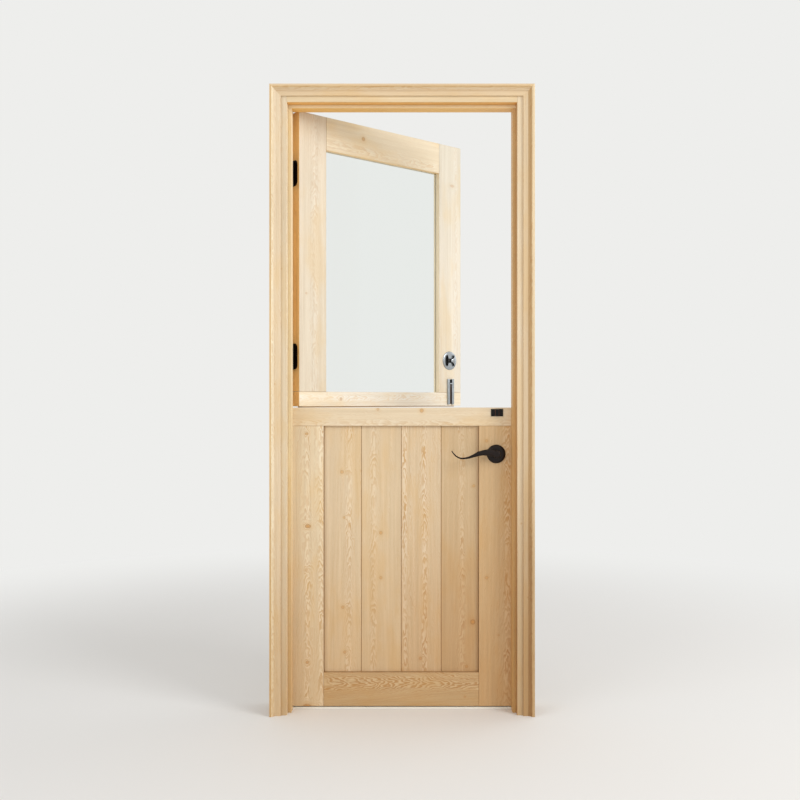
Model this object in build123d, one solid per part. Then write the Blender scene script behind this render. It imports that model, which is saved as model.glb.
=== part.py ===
from build123d import *
import os

# Dutch stable door with its frame, in millimetres.
# X runs to the right seen from the room, Y runs outwards through the wall, Z runs up.
# The origin is on the floor, midway between the jambs and at mid thickness of the closed leaves.
# The lower leaf is closed. The upper leaf stands open, away from the room.

# The two leaves
leaf_width = 762.0
leaf_thickness = 40.0
lower_leaf_height = 1018.0
upper_leaf_height = 1012.0
upper_open_angle = 40.0

# Gaps round the leaves
floor_gap = 8.0
meeting_gap = 4.0
side_gap = 3.0
head_gap = 3.0
stop_gap = 0.5

# Leaf members
stile_width = 114.0
lower_lock_stile_width = 119.0
upper_top_rail_height = 115.0
upper_bottom_rail_height = 51.0
lower_top_rail_height = 62.5
lower_bottom_rail_height = 115.0
member_arris = 1.0

# Mortise and tenon joints
tenon_thickness = 12.0
tenon_length = 32.0
tenon_shoulder = 20.0
joint_clearance = 0.1

# Tongued and grooved boards of the lower leaf
board_width = 136.5
board_thickness = 18.0
board_edge_thickness = 12.0
board_groove_depth = 10.0
board_tongue_length = 6.0
board_tongue_thickness = 5.0
board_v_depth = 1.6
board_clearance = 0.3

# Glass and its beads
glass_thickness = 4.0
glass_edge_gap = 2.0
glass_rebate_width = 12.0
bead_flat = 3.0
bead_sight_depth = 9.0

# Seal under the upper leaf
seal_thickness = 6.0
seal_groove_depth = 3.0
seal_running_gap = 0.4
seal_hinge_inset = 10.0
seal_lock_inset = 20.0

# Frame
jamb_thickness = 32.0
jamb_round = 2.0
room_reveal = 27.0
stop_depth = 44.0
stop_thickness = 12.0
stop_round = 2.5
threshold_height = 5.0
threshold_bevel = 3.0
threshold_reach = 25.0

# Moulded casing on the room side
casing_setback = 23.0
casing_width = 34.0
casing_thickness = 17.5
casing_flat_width = 13.0
casing_flat_height = 10.0
casing_rim_width = 8.0
casing_round = 1.5

# Moulding on the outside
moulding_setback = 10.0
moulding_width = 47.0
moulding_thickness = 30.0
moulding_step_width = 16.0
moulding_step_height = 20.0
moulding_round = 3.0

# Butt hinges
hinge_height = 89.0
hinge_from_end = 209.0
hinge_from_meeting = 172.0
hinge_plate_depth = 29.0
hinge_plate_thickness = 2.4
hinge_corner_radius = 15.8
knuckle_count = 5
knuckle_gap = 0.3
barrel_radius = 5.5
barrel_standoff = 6.0
pin_radius = 3.0
pin_clearance = 0.05
pin_head_radius = 4.6
pin_head_height = 2.6
hinge_screw_pitch = 29.0
hinge_screw_inset = 11.0
hinge_screw_stagger = 7.0

# Countersunk screws
screw_head_radius = 3.8
screw_head_depth = 2.2
screw_shank_radius = 1.9
screw_point = 4.0
screw_length = 25.0
joint_screw_length = 62.0
screw_clearance = 0.05

# Locks: bores through the stile, tubular cases and plates
lock_backset = 60.0
cross_bore_radius = 27.0
case_radius = 12.4
case_clearance = 0.1
case_tail = 14.0
plate_height = 57.0
plate_width = 25.4
plate_thickness = 2.4
plate_corner = 5.0
plate_screw_spread = 21.0
through_screw_spread = 20.0
through_screw_radius = 2.2
through_screw_seat = 2.0
strike_room = 1.0
slide_clearance = 0.3

# Deadbolt
deadbolt_above_meeting = 175.0
deadbolt_throw = 25.4
deadbolt_width = 13.0
deadbolt_height = 18.0
deadbolt_length = 48.0
deadbolt_rose_radius = 36.0
deadbolt_rose_thickness = 3.5
deadbolt_rose_round = 1.5
turn_hub_radius = 8.0
turn_hub_reach = 1.0
turn_width = 36.0
turn_height = 44.0
turn_waist = 10.0
turn_thickness = 5.5
turn_scoop_radius = 36.0
tailpiece_width = 6.0
tailpiece_thickness = 2.4
tailpiece_end_gap = 2.0
collar_base_radius = 33.0
collar_face_radius = 26.0
collar_thickness = 20.0
plug_radius = 7.0
plug_length = 14.0
keyway_width = 1.6
keyway_height = 8.0
keyway_depth = 10.0
turning_clearance = 0.1

# Latch and lever
lever_below_meeting = 158.0
latch_throw = 12.0
latch_width = 12.0
latch_height = 16.0
latch_length = 51.0
lever_rose_radius = 32.0
lever_rose_thickness = 9.0
lever_rose_round = 3.0
lever_neck_radius = 9.0
lever_hub_radius = 13.0
lever_hub_thickness = 15.0
lever_hub_round = 3.0
lever_standoff = 19.0
lever_depth = 13.0
spindle_side = 8.0
spindle_hole_clearance = 0.1
spindle_run_clearance = 0.6
spindle_engagement = 12.0
strike_lip_reach = 3.0
strike_lip_height = 30.0

# Lever blade: how far along, how high, its height and its depth at each station from hub to tip
lever_stations = [
    (0.0, 2.0, 22.0, 1.00),
    (28.0, 6.5, 24.0, 1.00),
    (63.0, 1.7, 15.5, 0.90),
    (93.0, -10.2, 8.2, 0.75),
    (114.0, -13.7, 6.0, 0.65),
    (132.0, -10.0, 5.4, 0.55),
    (145.0, 0.5, 4.6, 0.45),
    (153.0, 12.5, 3.2, 0.35),
]

# Bolt that joins the two leaves
guide_backset = 57.0
guide_width = 33.0
guide_height = 99.0
guide_thickness = 6.0
guide_round = 1.2
guide_above_edge = 5.0
guide_mouth_width = 10.6
guide_screw_spread = 11.4
guide_top_screw_drop = 33.0
guide_low_screw_rise = 22.0
bar_width = 13.0
bar_thickness = 3.0
bar_nose_width = 9.0
bar_nose_length = 32.0
bar_end_gap = 2.0
bar_throw = 28.0
bar_clearance = 0.3
thumb_width = 9.4
thumb_height = 14.0
thumb_reach = 1.5
thumb_round = 0.7
thumb_rib_width = 14.0
thumb_rib_height = 4.0
thumb_rib_gap = 0.3
keeper_width = 41.0
keeper_height = 25.0
keeper_drop = 4.6
keeper_plate_thickness = 2.6
keeper_wall = 2.0
keeper_round = 1.2
keeper_screw_spread = 13.8
keeper_clearance = 0.4

# Derived positions
half_leaf = leaf_width / 2
half_opening = half_leaf + side_gap
room_face = -leaf_thickness / 2
out_face = leaf_thickness / 2
stop_back = room_face - stop_gap
stop_front = stop_back - stop_depth
jamb_front = stop_front - room_reveal
lower_bottom = floor_gap
lower_top = lower_bottom + lower_leaf_height
upper_bottom = lower_top + meeting_gap
upper_top = upper_bottom + upper_leaf_height
head_underside = upper_top + head_gap
head_top = head_underside + jamb_thickness
hinge_axis_x = -half_leaf - side_gap / 2
hinge_axis_y = out_face + barrel_standoff
lock_x = half_leaf - lock_backset
deadbolt_z = upper_bottom + deadbolt_above_meeting
lever_z = lower_top - lever_below_meeting
guide_x = half_leaf - guide_backset
guide_bottom = upper_bottom + guide_above_edge
guide_top = guide_bottom + guide_height
keeper_top = lower_top - keeper_drop
bar_back = room_face - bar_clearance
bar_front = bar_back - bar_thickness
deadbolt_nose_x = half_leaf - joint_clearance
latch_nose_x = half_leaf + latch_throw

# Hinges from top to bottom: two on the upper leaf, two on the lower leaf
hinge_heights = [
    upper_top - hinge_from_end,
    upper_bottom + hinge_from_meeting,
    lower_top - hinge_from_meeting,
    lower_bottom + hinge_from_end,
]

# Ways that a screw head can face
FACING_RIGHT = (0, 90, 0)
FACING_LEFT = (0, -90, 0)
FACING_ROOM = (90, 0, 0)


# Basic shapes


def box(x, y, z):
    """Block between the low and high ends given for each axis."""
    spans = (x, y, z)
    middle = [(low + high) / 2 for low, high in spans]
    sides = [high - low for low, high in spans]
    return Pos(*middle) * Box(*sides)


def eased_box(x, y, z):
    """Block whose edges are all eased by the member arris."""
    return chamfer(box(x, y, z).edges(), member_arris)


def around(centre, width):
    """Low and high end of a width set about its centre."""
    return (centre - width / 2, centre + width / 2)


def rod_x(radius, x, y, z):
    """Round bar along X between the two ends in x."""
    return Pos((x[0] + x[1]) / 2, y, z) * Rot(0, 90, 0) * Cylinder(radius, x[1] - x[0])


def rod_y(radius, x, y, z):
    """Round bar along Y between the two ends in y."""
    return Pos(x, (y[0] + y[1]) / 2, z) * Rot(90, 0, 0) * Cylinder(radius, y[1] - y[0])


def rod_z(radius, x, y, z):
    """Round bar along Z between the two ends in z."""
    return Pos(x, y, (z[0] + z[1]) / 2) * Cylinder(radius, z[1] - z[0])


def polygon(points):
    """Flat face with straight sides."""
    return make_face(Polyline(*points, close=True))


def rounded_polygon(points, rounded, radius):
    """Flat face with straight sides, with the corners at the indices in rounded filleted."""
    face = polygon(points)
    corners = [Vector(*points[index]) for index in rounded]
    chosen = [v for v in face.vertices() if any((Vector(v) - c).length < 0.001 for c in corners)]
    return fillet(chosen, radius)


def along_x(face, x):
    """Face drawn in (y, z), extruded between the two ends in x."""
    return extrude(Plane.YZ.offset(x[0]) * face, x[1] - x[0])


def along_y(face, y):
    """Face drawn in (x, z), extruded between the two ends in y."""
    return extrude(Plane.XZ.offset(-y[1]) * face, y[1] - y[0])


def along_z(face, z):
    """Face drawn in (x, y), extruded between the two ends in z."""
    return extrude(Pos(0, 0, z[0]) * face, z[1] - z[0])


def turned(points, x, z):
    """Solid turned about a line along Y, from an outline in (radius, y)."""
    return Pos(x, 0, z) * revolve(polygon(points), Axis.Y)


def swung(shape):
    """Turn a piece of the closed upper leaf to where it stands open."""
    hinge_line = Axis((hinge_axis_x, hinge_axis_y, 0), (0, 0, 1))
    return shape.rotate(hinge_line, upper_open_angle)


# Screws


def screw(length, grow=0.0):
    """Countersunk screw that points down, its head level with z = 0, or its hole when grown."""
    head = screw_head_radius + grow
    shank = screw_shank_radius + grow
    outline = [
        (0, 0),
        (head, 0),
        (shank, -screw_head_depth),
        (shank, -length + screw_point),
        (0, -length - grow),
    ]
    return revolve(Plane.XZ * polygon(outline), Axis.Z)


def screw_place(x, y, z, facing):
    """Where a screw head lies and the way that it faces."""
    return Location((x, y, z), facing)


def screw_holes(places, length=screw_length):
    """Holes for the screws at the given places."""
    return [place * screw(length, screw_clearance) for place in places]


def screws(places, length=screw_length):
    """Screws at the given places."""
    return [place * screw(length) for place in places]


def hinge_screw_places(centre, on_leaf):
    """Three screws in a staggered row in one plate of a hinge."""
    face = -half_leaf if on_leaf else -half_opening
    facing = FACING_LEFT if on_leaf else FACING_RIGHT
    places = []
    for step in (-1, 0, 1):
        inset = hinge_screw_inset + (0 if step else hinge_screw_stagger)
        height = centre + step * hinge_screw_pitch
        places.append(screw_place(face, out_face - inset, height, facing))
    return places


def lock_plate_screw_places(x, z, facing):
    """Two screws, above and below the hole of a strike or faceplate."""
    return [screw_place(x, 0, z + side * plate_screw_spread, facing) for side in (-1, 1)]


def guide_screw_places():
    """Four screws in the cheeks of the bolt's guide."""
    heights = (guide_top - guide_top_screw_drop, guide_bottom + guide_low_screw_rise)
    return [
        screw_place(guide_x + side * guide_screw_spread, room_face - guide_thickness, z, FACING_ROOM)
        for z in heights
        for side in (-1, 1)
    ]


def keeper_screw_places():
    """Two screws in the flanges of the keeper."""
    z = keeper_top - keeper_height / 2
    y = room_face - keeper_plate_thickness
    return [
        screw_place(guide_x + side * keeper_screw_spread, y, z, FACING_ROOM) for side in (-1, 1)
    ]


def head_joint_screw_places(side):
    """Two long screws through a side jamb into the end of the head jamb."""
    facing = FACING_RIGHT if side > 0 else FACING_LEFT
    outer = side * (half_opening + jamb_thickness)
    depth = out_face - jamb_front
    z = head_underside + jamb_thickness / 2
    return [screw_place(outer, jamb_front + depth * share, z, facing) for share in (0.25, 0.75)]


# Frame


def side_jamb(side):
    """Side jamb, its room side arris rounded."""
    inner = side * half_opening
    outer = side * (half_opening + jamb_thickness)
    corners = [(inner, jamb_front), (outer, jamb_front), (outer, out_face), (inner, out_face)]
    return along_z(rounded_polygon(corners, [0], jamb_round), (0, head_top))


def hinge_jamb():
    """Left jamb, with the mortises and screw holes of four hinges."""
    cuts = screw_holes(head_joint_screw_places(-1), joint_screw_length)
    for centre in hinge_heights:
        cuts.append(hinge_mortise(centre, on_leaf=False))
        cuts.extend(screw_holes(hinge_screw_places(centre, on_leaf=False)))
    return side_jamb(-1) - cuts


def strike_jamb():
    """Right jamb, with the mortises and pockets of the two strikes."""
    cuts = screw_holes(head_joint_screw_places(1), joint_screw_length)
    for z in (deadbolt_z, lever_z):
        cuts.append(strike_outline(z, z == lever_z, joint_clearance))
        cuts.extend(screw_holes(lock_plate_screw_places(half_opening, z, FACING_LEFT)))
    cuts.append(deadbolt_pocket())
    cuts.append(latch_pocket())
    return side_jamb(1) - cuts


def head_jamb():
    """Head jamb, butted between the side jambs."""
    corners = [
        (jamb_front, head_underside),
        (out_face, head_underside),
        (out_face, head_top),
        (jamb_front, head_top),
    ]
    body = along_x(rounded_polygon(corners, [0], jamb_round), (-half_opening, half_opening))
    holes = []
    for side in (-1, 1):
        holes.extend(screw_holes(head_joint_screw_places(side), joint_screw_length))
    return body - holes


def side_stop(side):
    """Batten on a side jamb that the closed leaves rest against."""
    wall = side * half_opening
    edge = side * (half_opening - stop_thickness)
    corners = [(edge, stop_front), (wall, stop_front), (wall, stop_back), (edge, stop_back)]
    return along_z(rounded_polygon(corners, [0], stop_round), (0, head_underside - stop_thickness))


def head_stop():
    """Batten under the head jamb, over the side stops."""
    edge = head_underside - stop_thickness
    corners = [
        (stop_front, edge),
        (stop_back, edge),
        (stop_back, head_underside),
        (stop_front, head_underside),
    ]
    return along_x(rounded_polygon(corners, [0], stop_round), (-half_opening, half_opening))


def threshold_strip():
    """Slim strip on the floor between the jambs, bevelled towards the outside."""
    edge = out_face + threshold_reach
    corners = [
        (room_face, 0),
        (edge, 0),
        (edge, threshold_height - threshold_bevel),
        (edge - threshold_bevel, threshold_height),
        (room_face, threshold_height),
    ]
    return along_x(polygon(corners), (-half_opening, half_opening))


def casing_profile(place):
    """Section of the casing: a flat, a hollow that rises from it and an outer rim."""
    flat_end = casing_flat_width
    rim_start = casing_width - casing_rim_width
    rise = casing_thickness - casing_flat_height
    run = rim_start - flat_end
    hollow = ThreePointArc(
        place(flat_end, casing_flat_height),
        place(flat_end + 0.62 * run, casing_flat_height + 0.30 * rise),
        place(rim_start, casing_thickness),
    )
    inner = Polyline(
        place(casing_round, casing_flat_height), place(flat_end, casing_flat_height)
    )
    inner_round = RadiusArc(
        place(0, casing_flat_height - casing_round),
        place(casing_round, casing_flat_height),
        casing_round * turn_of(place),
    )
    rest = Polyline(
        place(rim_start, casing_thickness),
        place(casing_width - casing_round, casing_thickness),
        place(casing_width, casing_thickness - casing_round),
        place(casing_width, 0),
        place(0, 0),
        place(0, casing_flat_height - casing_round),
    )
    return make_face([inner_round, inner, hollow, rest])


def moulding_profile(place):
    """Section of the outside moulding: a low step beside the opening, then a thicker body."""
    step = moulding_step_width
    outline = [
        place(0, 0),
        place(0, moulding_step_height - moulding_round),
        place(moulding_round, moulding_step_height),
        place(step - moulding_round, moulding_step_height),
        place(step, moulding_thickness - moulding_round),
        place(step + moulding_round, moulding_thickness),
        place(moulding_width - moulding_round, moulding_thickness),
        place(moulding_width, moulding_thickness - moulding_round),
        place(moulding_width, 0),
    ]
    return polygon(outline)


def turn_of(place):
    """One if a placing function keeps the way round of an outline, minus one if it mirrors it."""
    start = Vector(*place(0, 0))
    across = Vector(*place(1, 0)) - start
    proud = Vector(*place(0, 1)) - start
    return 1 if across.cross(proud).Z > 0 else -1


def mitred_trim(profile, setback, width, back, proud):
    """Left, right and head pieces of a trim that is mitred round the opening.

    proud is minus one towards the room and one towards the outside, and back is the plane that
    the trim lies on.
    """
    inner = half_opening + setback
    outer = inner + width
    inner_top = head_underside + setback
    outer_top = inner_top + width
    reach = sorted((back, back + proud * 2 * (casing_thickness + moulding_thickness)))

    def side_piece(side):
        section = profile(lambda across, out: (side * (inner + across), back + proud * out))
        corners = [
            (side * inner, 0),
            (side * outer, 0),
            (side * outer, outer_top),
            (side * inner, inner_top),
        ]
        return along_z(section, (0, outer_top)) & along_y(polygon(corners), reach)

    section = profile(lambda across, out: (back + proud * out, inner_top + across))
    corners = [(-inner, inner_top), (-outer, outer_top), (outer, outer_top), (inner, inner_top)]
    head = along_x(section, (-outer, outer)) & along_y(polygon(corners), reach)
    return side_piece(-1), side_piece(1), head


def frame_nodes():
    """Jambs, stops, threshold and both trims."""
    nodes = {
        "hinge_jamb": hinge_jamb(),
        "strike_jamb": strike_jamb(),
        "head_jamb": head_jamb(),
        "hinge_side_stop": side_stop(-1),
        "strike_side_stop": side_stop(1),
        "head_stop": head_stop(),
        "threshold_strip": threshold_strip(),
    }
    casing = mitred_trim(casing_profile, casing_setback, casing_width, jamb_front, -1)
    moulding = mitred_trim(moulding_profile, moulding_setback, moulding_width, out_face, 1)
    for name, piece, outside in zip(("left", "right", "head"), casing, moulding):
        nodes["room_casing_" + name] = piece
        nodes["outside_moulding_" + name] = outside
    return nodes


# Hinges


def hinge_plate_face(centre, grow=0.0):
    """Outline of a hinge plate in (y, z), its two far corners rounded."""
    depth = (out_face - hinge_plate_depth - grow, hinge_axis_y)
    height = around(centre, hinge_height + 2 * grow)
    corners = [
        (depth[0], height[0]),
        (depth[1], height[0]),
        (depth[1], height[1]),
        (depth[0], height[1]),
    ]
    return rounded_polygon(corners, [0, 3], hinge_corner_radius)


def plate_span(on_leaf, grow=0.0):
    """Thickness of a hinge plate along X, let in flush with its own wood."""
    if on_leaf:
        return (-half_leaf, -half_leaf + hinge_plate_thickness + grow)
    return (-half_opening - hinge_plate_thickness - grow, -half_opening)


def hinge_mortise(centre, on_leaf):
    """Recess that one hinge plate lies in."""
    grow = joint_clearance
    return along_x(hinge_plate_face(centre, grow), plate_span(on_leaf, grow))


def knuckle_span(centre, index):
    """Low and high end of one knuckle, counted from the bottom."""
    pitch = hinge_height / knuckle_count
    low = centre - hinge_height / 2 + index * pitch
    return (low, low + pitch)


def hinge_plate(centre, on_leaf):
    """One half of a butt hinge: a plate that runs into its own knuckles round the pin."""
    plate = along_x(hinge_plate_face(centre), plate_span(on_leaf))
    cuts = []
    for index in range(knuckle_count):
        low, high = knuckle_span(centre, index)
        mine = (index % 2 == 1) == on_leaf
        low_gap = knuckle_gap / 2 if index > 0 else 0
        high_gap = knuckle_gap / 2 if index < knuckle_count - 1 else 0
        if mine:
            span = (low + low_gap, high - high_gap)
            plate += rod_z(barrel_radius, hinge_axis_x, hinge_axis_y, span)
        else:
            span = (low - low_gap, high + high_gap)
            cuts.append(rod_z(barrel_radius + knuckle_gap, hinge_axis_x, hinge_axis_y, span))
    height = around(centre, hinge_height)
    cuts.append(rod_z(pin_radius + pin_clearance, hinge_axis_x, hinge_axis_y, height))
    cuts.extend(screw_holes(hinge_screw_places(centre, on_leaf)))
    return plate - cuts


def hinge_pin(centre):
    """Loose pin with a button head at its top and a plug at its foot."""
    low, high = around(centre, hinge_height)
    shank = rod_z(pin_radius, hinge_axis_x, hinge_axis_y, (low - pin_head_height, high))
    head = rod_z(pin_head_radius, hinge_axis_x, hinge_axis_y, (high, high + pin_head_height))
    foot = rod_z(pin_head_radius, hinge_axis_x, hinge_axis_y, (low - pin_head_height, low))
    return shank + head + foot


def hinge_nodes():
    """Frame plates and pins of all hinges."""
    nodes = {}
    for number, centre in enumerate(hinge_heights, 1):
        nodes["hinge_frame_plate_" + str(number)] = hinge_plate(centre, on_leaf=False)
    nodes["hinge_pins"] = Compound([hinge_pin(centre) for centre in hinge_heights])
    return nodes


# Lock parts


def plate_face(y, z, width):
    """Outline of a lock plate in (y, z), its corners rounded."""
    return Pos(y, z) * RectangleRounded(width, plate_height, plate_corner)


def strike_outline(z, with_lip, grow=0.0):
    """Flat strike plate or the recess that it lies in."""
    face = Pos(0, z) * RectangleRounded(
        plate_width + 2 * grow, plate_height + 2 * grow, plate_corner
    )
    span = (half_opening, half_opening + plate_thickness + grow)
    plate = along_x(face, span)
    if with_lip:
        lip = (0, out_face + strike_lip_reach)
        plate += box(span, lip, around(z, strike_lip_height + 2 * grow))
    return plate


def deadbolt_pocket(margin=strike_room):
    """Space for the thrown deadbolt in the strike jamb."""
    depth = deadbolt_throw - side_gap + strike_room
    span = (half_opening, half_opening + depth)
    y = around(0, deadbolt_width + 2 * margin)
    return box(span, y, around(deadbolt_z, deadbolt_height + 2 * margin))


def latch_pocket(margin=strike_room):
    """Space for the latch in the strike jamb."""
    depth = latch_throw - side_gap + strike_room + plate_thickness
    span = (half_opening, half_opening + depth)
    y = around(0, latch_width + 2 * margin)
    return box(span, y, around(lever_z, latch_height + 2 * margin))


def deadbolt_strike():
    """Flat strike with its hole for the deadbolt."""
    holes = screw_holes(lock_plate_screw_places(half_opening, deadbolt_z, FACING_LEFT))
    return strike_outline(deadbolt_z, False) - [deadbolt_pocket(strike_room / 2)] - holes


def latch_strike():
    """Strike with a lip that leads the latch in."""
    holes = screw_holes(lock_plate_screw_places(half_opening, lever_z, FACING_LEFT))
    return strike_outline(lever_z, True) - [latch_pocket(strike_room / 2)] - holes


def lock_bores(z):
    """Bores of a tubular lock: one across the stile and one from its edge."""
    edge_bore = (lock_x - case_tail, half_leaf)
    faceplate = along_x(
        Pos(0, z)
        * RectangleRounded(
            plate_width + 2 * joint_clearance, plate_height + 2 * joint_clearance, plate_corner
        ),
        (half_leaf - plate_thickness - joint_clearance, half_leaf),
    )
    return [
        rod_y(cross_bore_radius, lock_x, (room_face, out_face), z),
        rod_x(case_radius + case_clearance, edge_bore, 0, z),
        faceplate,
    ] + screw_holes(lock_plate_screw_places(half_leaf, z, FACING_RIGHT))


def lock_case(z, channel, hub_radius):
    """Tubular lock case with its faceplate, a channel for the bolt and a hole for the hub."""
    tube = rod_x(case_radius, (lock_x - case_tail, half_leaf - plate_thickness), 0, z)
    faceplate = along_x(plate_face(0, z, plate_width), (half_leaf - plate_thickness, half_leaf))
    hub_hole = rod_y(hub_radius, lock_x, (-case_radius, case_radius), z)
    holes = screw_holes(lock_plate_screw_places(half_leaf, z, FACING_RIGHT))
    return tube + faceplate - [channel, hub_hole] - holes


def deadbolt_case():
    """Case of the deadbolt."""
    back = deadbolt_nose_x - deadbolt_length - slide_clearance
    channel = box(
        (back, half_leaf),
        around(0, deadbolt_width + 2 * slide_clearance),
        around(deadbolt_z, deadbolt_height + 2 * slide_clearance),
    )
    return lock_case(deadbolt_z, channel, tailpiece_width)


def deadbolt_bolt():
    """Bolt, drawn in level with the faceplate."""
    return eased_box(
        (deadbolt_nose_x - deadbolt_length, deadbolt_nose_x),
        around(0, deadbolt_width),
        around(deadbolt_z, deadbolt_height),
    )


def through_screw_spans(z, room_seat, out_seat):
    """The two screws that draw a pair of roses together across the stile."""
    span = (room_face - room_seat, out_face + out_seat)
    return [
        rod_y(through_screw_radius, lock_x, span, z + side * through_screw_spread)
        for side in (-1, 1)
    ]


def through_screw_holes(z, room_seat, out_seat):
    """Seats of those screws in the roses."""
    span = (room_face - room_seat - screw_clearance, out_face + out_seat + screw_clearance)
    return [
        rod_y(through_screw_radius + screw_clearance, lock_x, span, z + side * through_screw_spread)
        for side in (-1, 1)
    ]


def deadbolt_rose():
    """Round rose on the room side, its rim rounded."""
    front = room_face - deadbolt_rose_thickness
    disc = rod_y(deadbolt_rose_radius, lock_x, (front, room_face), deadbolt_z)
    disc = fillet(disc.edges().sort_by(Axis.Y)[0], deadbolt_rose_round)
    hole = rod_y(turn_hub_radius + turning_clearance, lock_x, (front, room_face), deadbolt_z)
    seats = through_screw_holes(deadbolt_z, through_screw_seat, through_screw_seat)
    return disc - [hole] - seats


def thumb_turn():
    """Butterfly turn: two wings that flare from a waist, hollowed in front, on a round hub."""
    front = room_face - deadbolt_rose_thickness
    plate_back = front - turn_hub_reach
    hub = rod_y(turn_hub_radius, lock_x, (plate_back, room_face - joint_clearance), deadbolt_z)
    half_width = turn_width / 2
    tip = turn_height / 2
    bulge = half_width * 1.12
    waist = turn_waist / 2
    corner = half_width * 0.95
    outline = make_face(
        [
            ThreePointArc((-corner, tip), (0, waist), (corner, tip)),
            ThreePointArc((corner, tip), (bulge, 0), (corner, -tip)),
            ThreePointArc((corner, -tip), (0, -waist), (-corner, -tip)),
            ThreePointArc((-corner, -tip), (-bulge, 0), (-corner, tip)),
        ]
    )
    wings = along_y(Pos(lock_x, deadbolt_z) * outline, (plate_back - turn_thickness, plate_back))
    scoop_y = plate_back - turn_thickness * 0.45 - turn_scoop_radius
    height = around(deadbolt_z, 2 * turn_height)
    wings -= rod_z(turn_scoop_radius, lock_x, scoop_y, height)
    slot = tailpiece_box(grow=joint_clearance)
    return wings + hub - slot


def tailpiece_box(grow=0.0):
    """Flat bar from the thumb turn through the case, with its end short of the plug."""
    room_end = room_face - deadbolt_rose_thickness
    out_end = out_face + collar_thickness - plug_length - tailpiece_end_gap
    return box(
        around(lock_x, tailpiece_thickness + 2 * grow),
        (room_end - grow, out_end + grow),
        around(deadbolt_z, tailpiece_width + 2 * grow),
    )


def cylinder_collar():
    """Tapered collar that guards the key cylinder outside."""
    face = out_face + collar_thickness
    outline = [
        (plug_radius + turning_clearance, out_face),
        (collar_base_radius, out_face),
        (collar_base_radius, out_face + 3.0 * member_arris),
        (collar_face_radius, face - member_arris),
        (collar_face_radius - member_arris, face),
        (plug_radius + turning_clearance, face),
    ]
    seats = through_screw_holes(deadbolt_z, through_screw_seat, through_screw_seat)
    return turned(outline, lock_x, deadbolt_z) - seats


def cylinder_plug():
    """Key plug with its keyway."""
    face = out_face + collar_thickness
    plug = rod_y(plug_radius, lock_x, (face - plug_length, face), deadbolt_z)
    keyway = box(
        around(lock_x, keyway_width),
        (face - keyway_depth, face),
        around(deadbolt_z, keyway_height),
    )
    return plug - keyway


def latch_case():
    """Case of the spring latch."""
    back = latch_nose_x - latch_length - latch_throw - slide_clearance
    channel = box(
        (back, half_leaf),
        around(0, latch_width + 2 * slide_clearance),
        around(lever_z, latch_height + 2 * slide_clearance),
    )
    return lock_case(lever_z, channel, spindle_side / 2 * 2**0.5 + spindle_run_clearance)


def latch_bolt():
    """Spring latch, thrown, bevelled on the side that meets the strike as the leaf closes."""
    bolt = box(
        (latch_nose_x - latch_length, latch_nose_x),
        around(0, latch_width),
        around(lever_z, latch_height),
    )
    bevel = [
        (half_leaf + joint_clearance, -latch_width / 2),
        (latch_nose_x, -latch_width / 2),
        (latch_nose_x, latch_width / 4),
    ]
    return bolt - along_z(polygon(bevel), around(lever_z, 2 * latch_height))


# Levers


def lever_rose():
    """Round rose of the lever on the room side, its rim rounded."""
    front = room_face - lever_rose_thickness
    disc = rod_y(lever_rose_radius, lock_x, (front, room_face), lever_z)
    disc = fillet(disc.edges().sort_by(Axis.Y)[0], lever_rose_round)
    hole = rod_y(lever_neck_radius + turning_clearance, lock_x, (front, room_face), lever_z)
    seats = through_screw_holes(lever_z, through_screw_seat, through_screw_seat)
    return disc - [hole] - seats


def lever_blade(centre_y):
    """Wave shaped blade, lofted through ellipses that stand square to its curved middle line."""
    points = [Vector(lock_x - run, centre_y, lever_z + rise) for run, rise, _, _ in lever_stations]
    middle = Spline(*points)
    sections = []
    for point, (_, _, height, share) in zip(points, lever_stations):
        direction = middle.tangent_at(point)
        plane = Plane(origin=point, x_dir=(0, 1, 0), z_dir=direction)
        sections.append(plane * Ellipse(lever_depth * share / 2, height / 2))
    return loft(sections)


def inside_lever():
    """Lever with its hub, its neck in the rose and a square socket for the spindle."""
    hub_back = room_face - lever_rose_thickness - lever_standoff + lever_hub_thickness / 2
    hub_front = hub_back - lever_hub_thickness
    hub = rod_y(lever_hub_radius, lock_x, (hub_front, hub_back), lever_z)
    hub = fillet(hub.edges().sort_by(Axis.Y)[0], lever_hub_round)
    neck = rod_y(lever_neck_radius, lock_x, (hub_front + lever_hub_round, room_face), lever_z)
    return hub + neck + lever_blade((hub_front + hub_back) / 2) - spindle_socket()


def spindle_end():
    """How far the spindle reaches past a leaf face."""
    return lever_rose_thickness + spindle_engagement


def spindle_socket():
    """Square hole in the neck of the inside lever."""
    reach = (room_face - spindle_end() - spindle_hole_clearance, room_face)
    side = spindle_side + 2 * spindle_hole_clearance
    return box(around(lock_x, side), reach, around(lever_z, side))


def spindle():
    """Square bar that joins the two levers."""
    reach = (room_face - spindle_end(), out_face + spindle_end())
    return box(around(lock_x, spindle_side), reach, around(lever_z, spindle_side))


# Upper leaf


def glass_space():
    """Rebate for the glass and its beads, open to the outside."""
    return box(
        (-half_leaf + stile_width - glass_rebate_width, half_leaf - stile_width + glass_rebate_width),
        (-glass_thickness / 2, out_face),
        (
            upper_bottom + upper_bottom_rail_height - glass_rebate_width,
            upper_top - upper_top_rail_height + glass_rebate_width,
        ),
    )


def upper_stile_tenon(side, grow=0.0):
    """Tenon on the foot of an upper stile, let into the bottom rail."""
    middle = side * (half_leaf - stile_width / 2)
    shoulder = upper_bottom + upper_bottom_rail_height
    return box(
        around(middle, stile_width - 2 * tenon_shoulder + 2 * grow),
        around(0, tenon_thickness + 2 * grow),
        (shoulder - tenon_length - grow, shoulder),
    )


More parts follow.
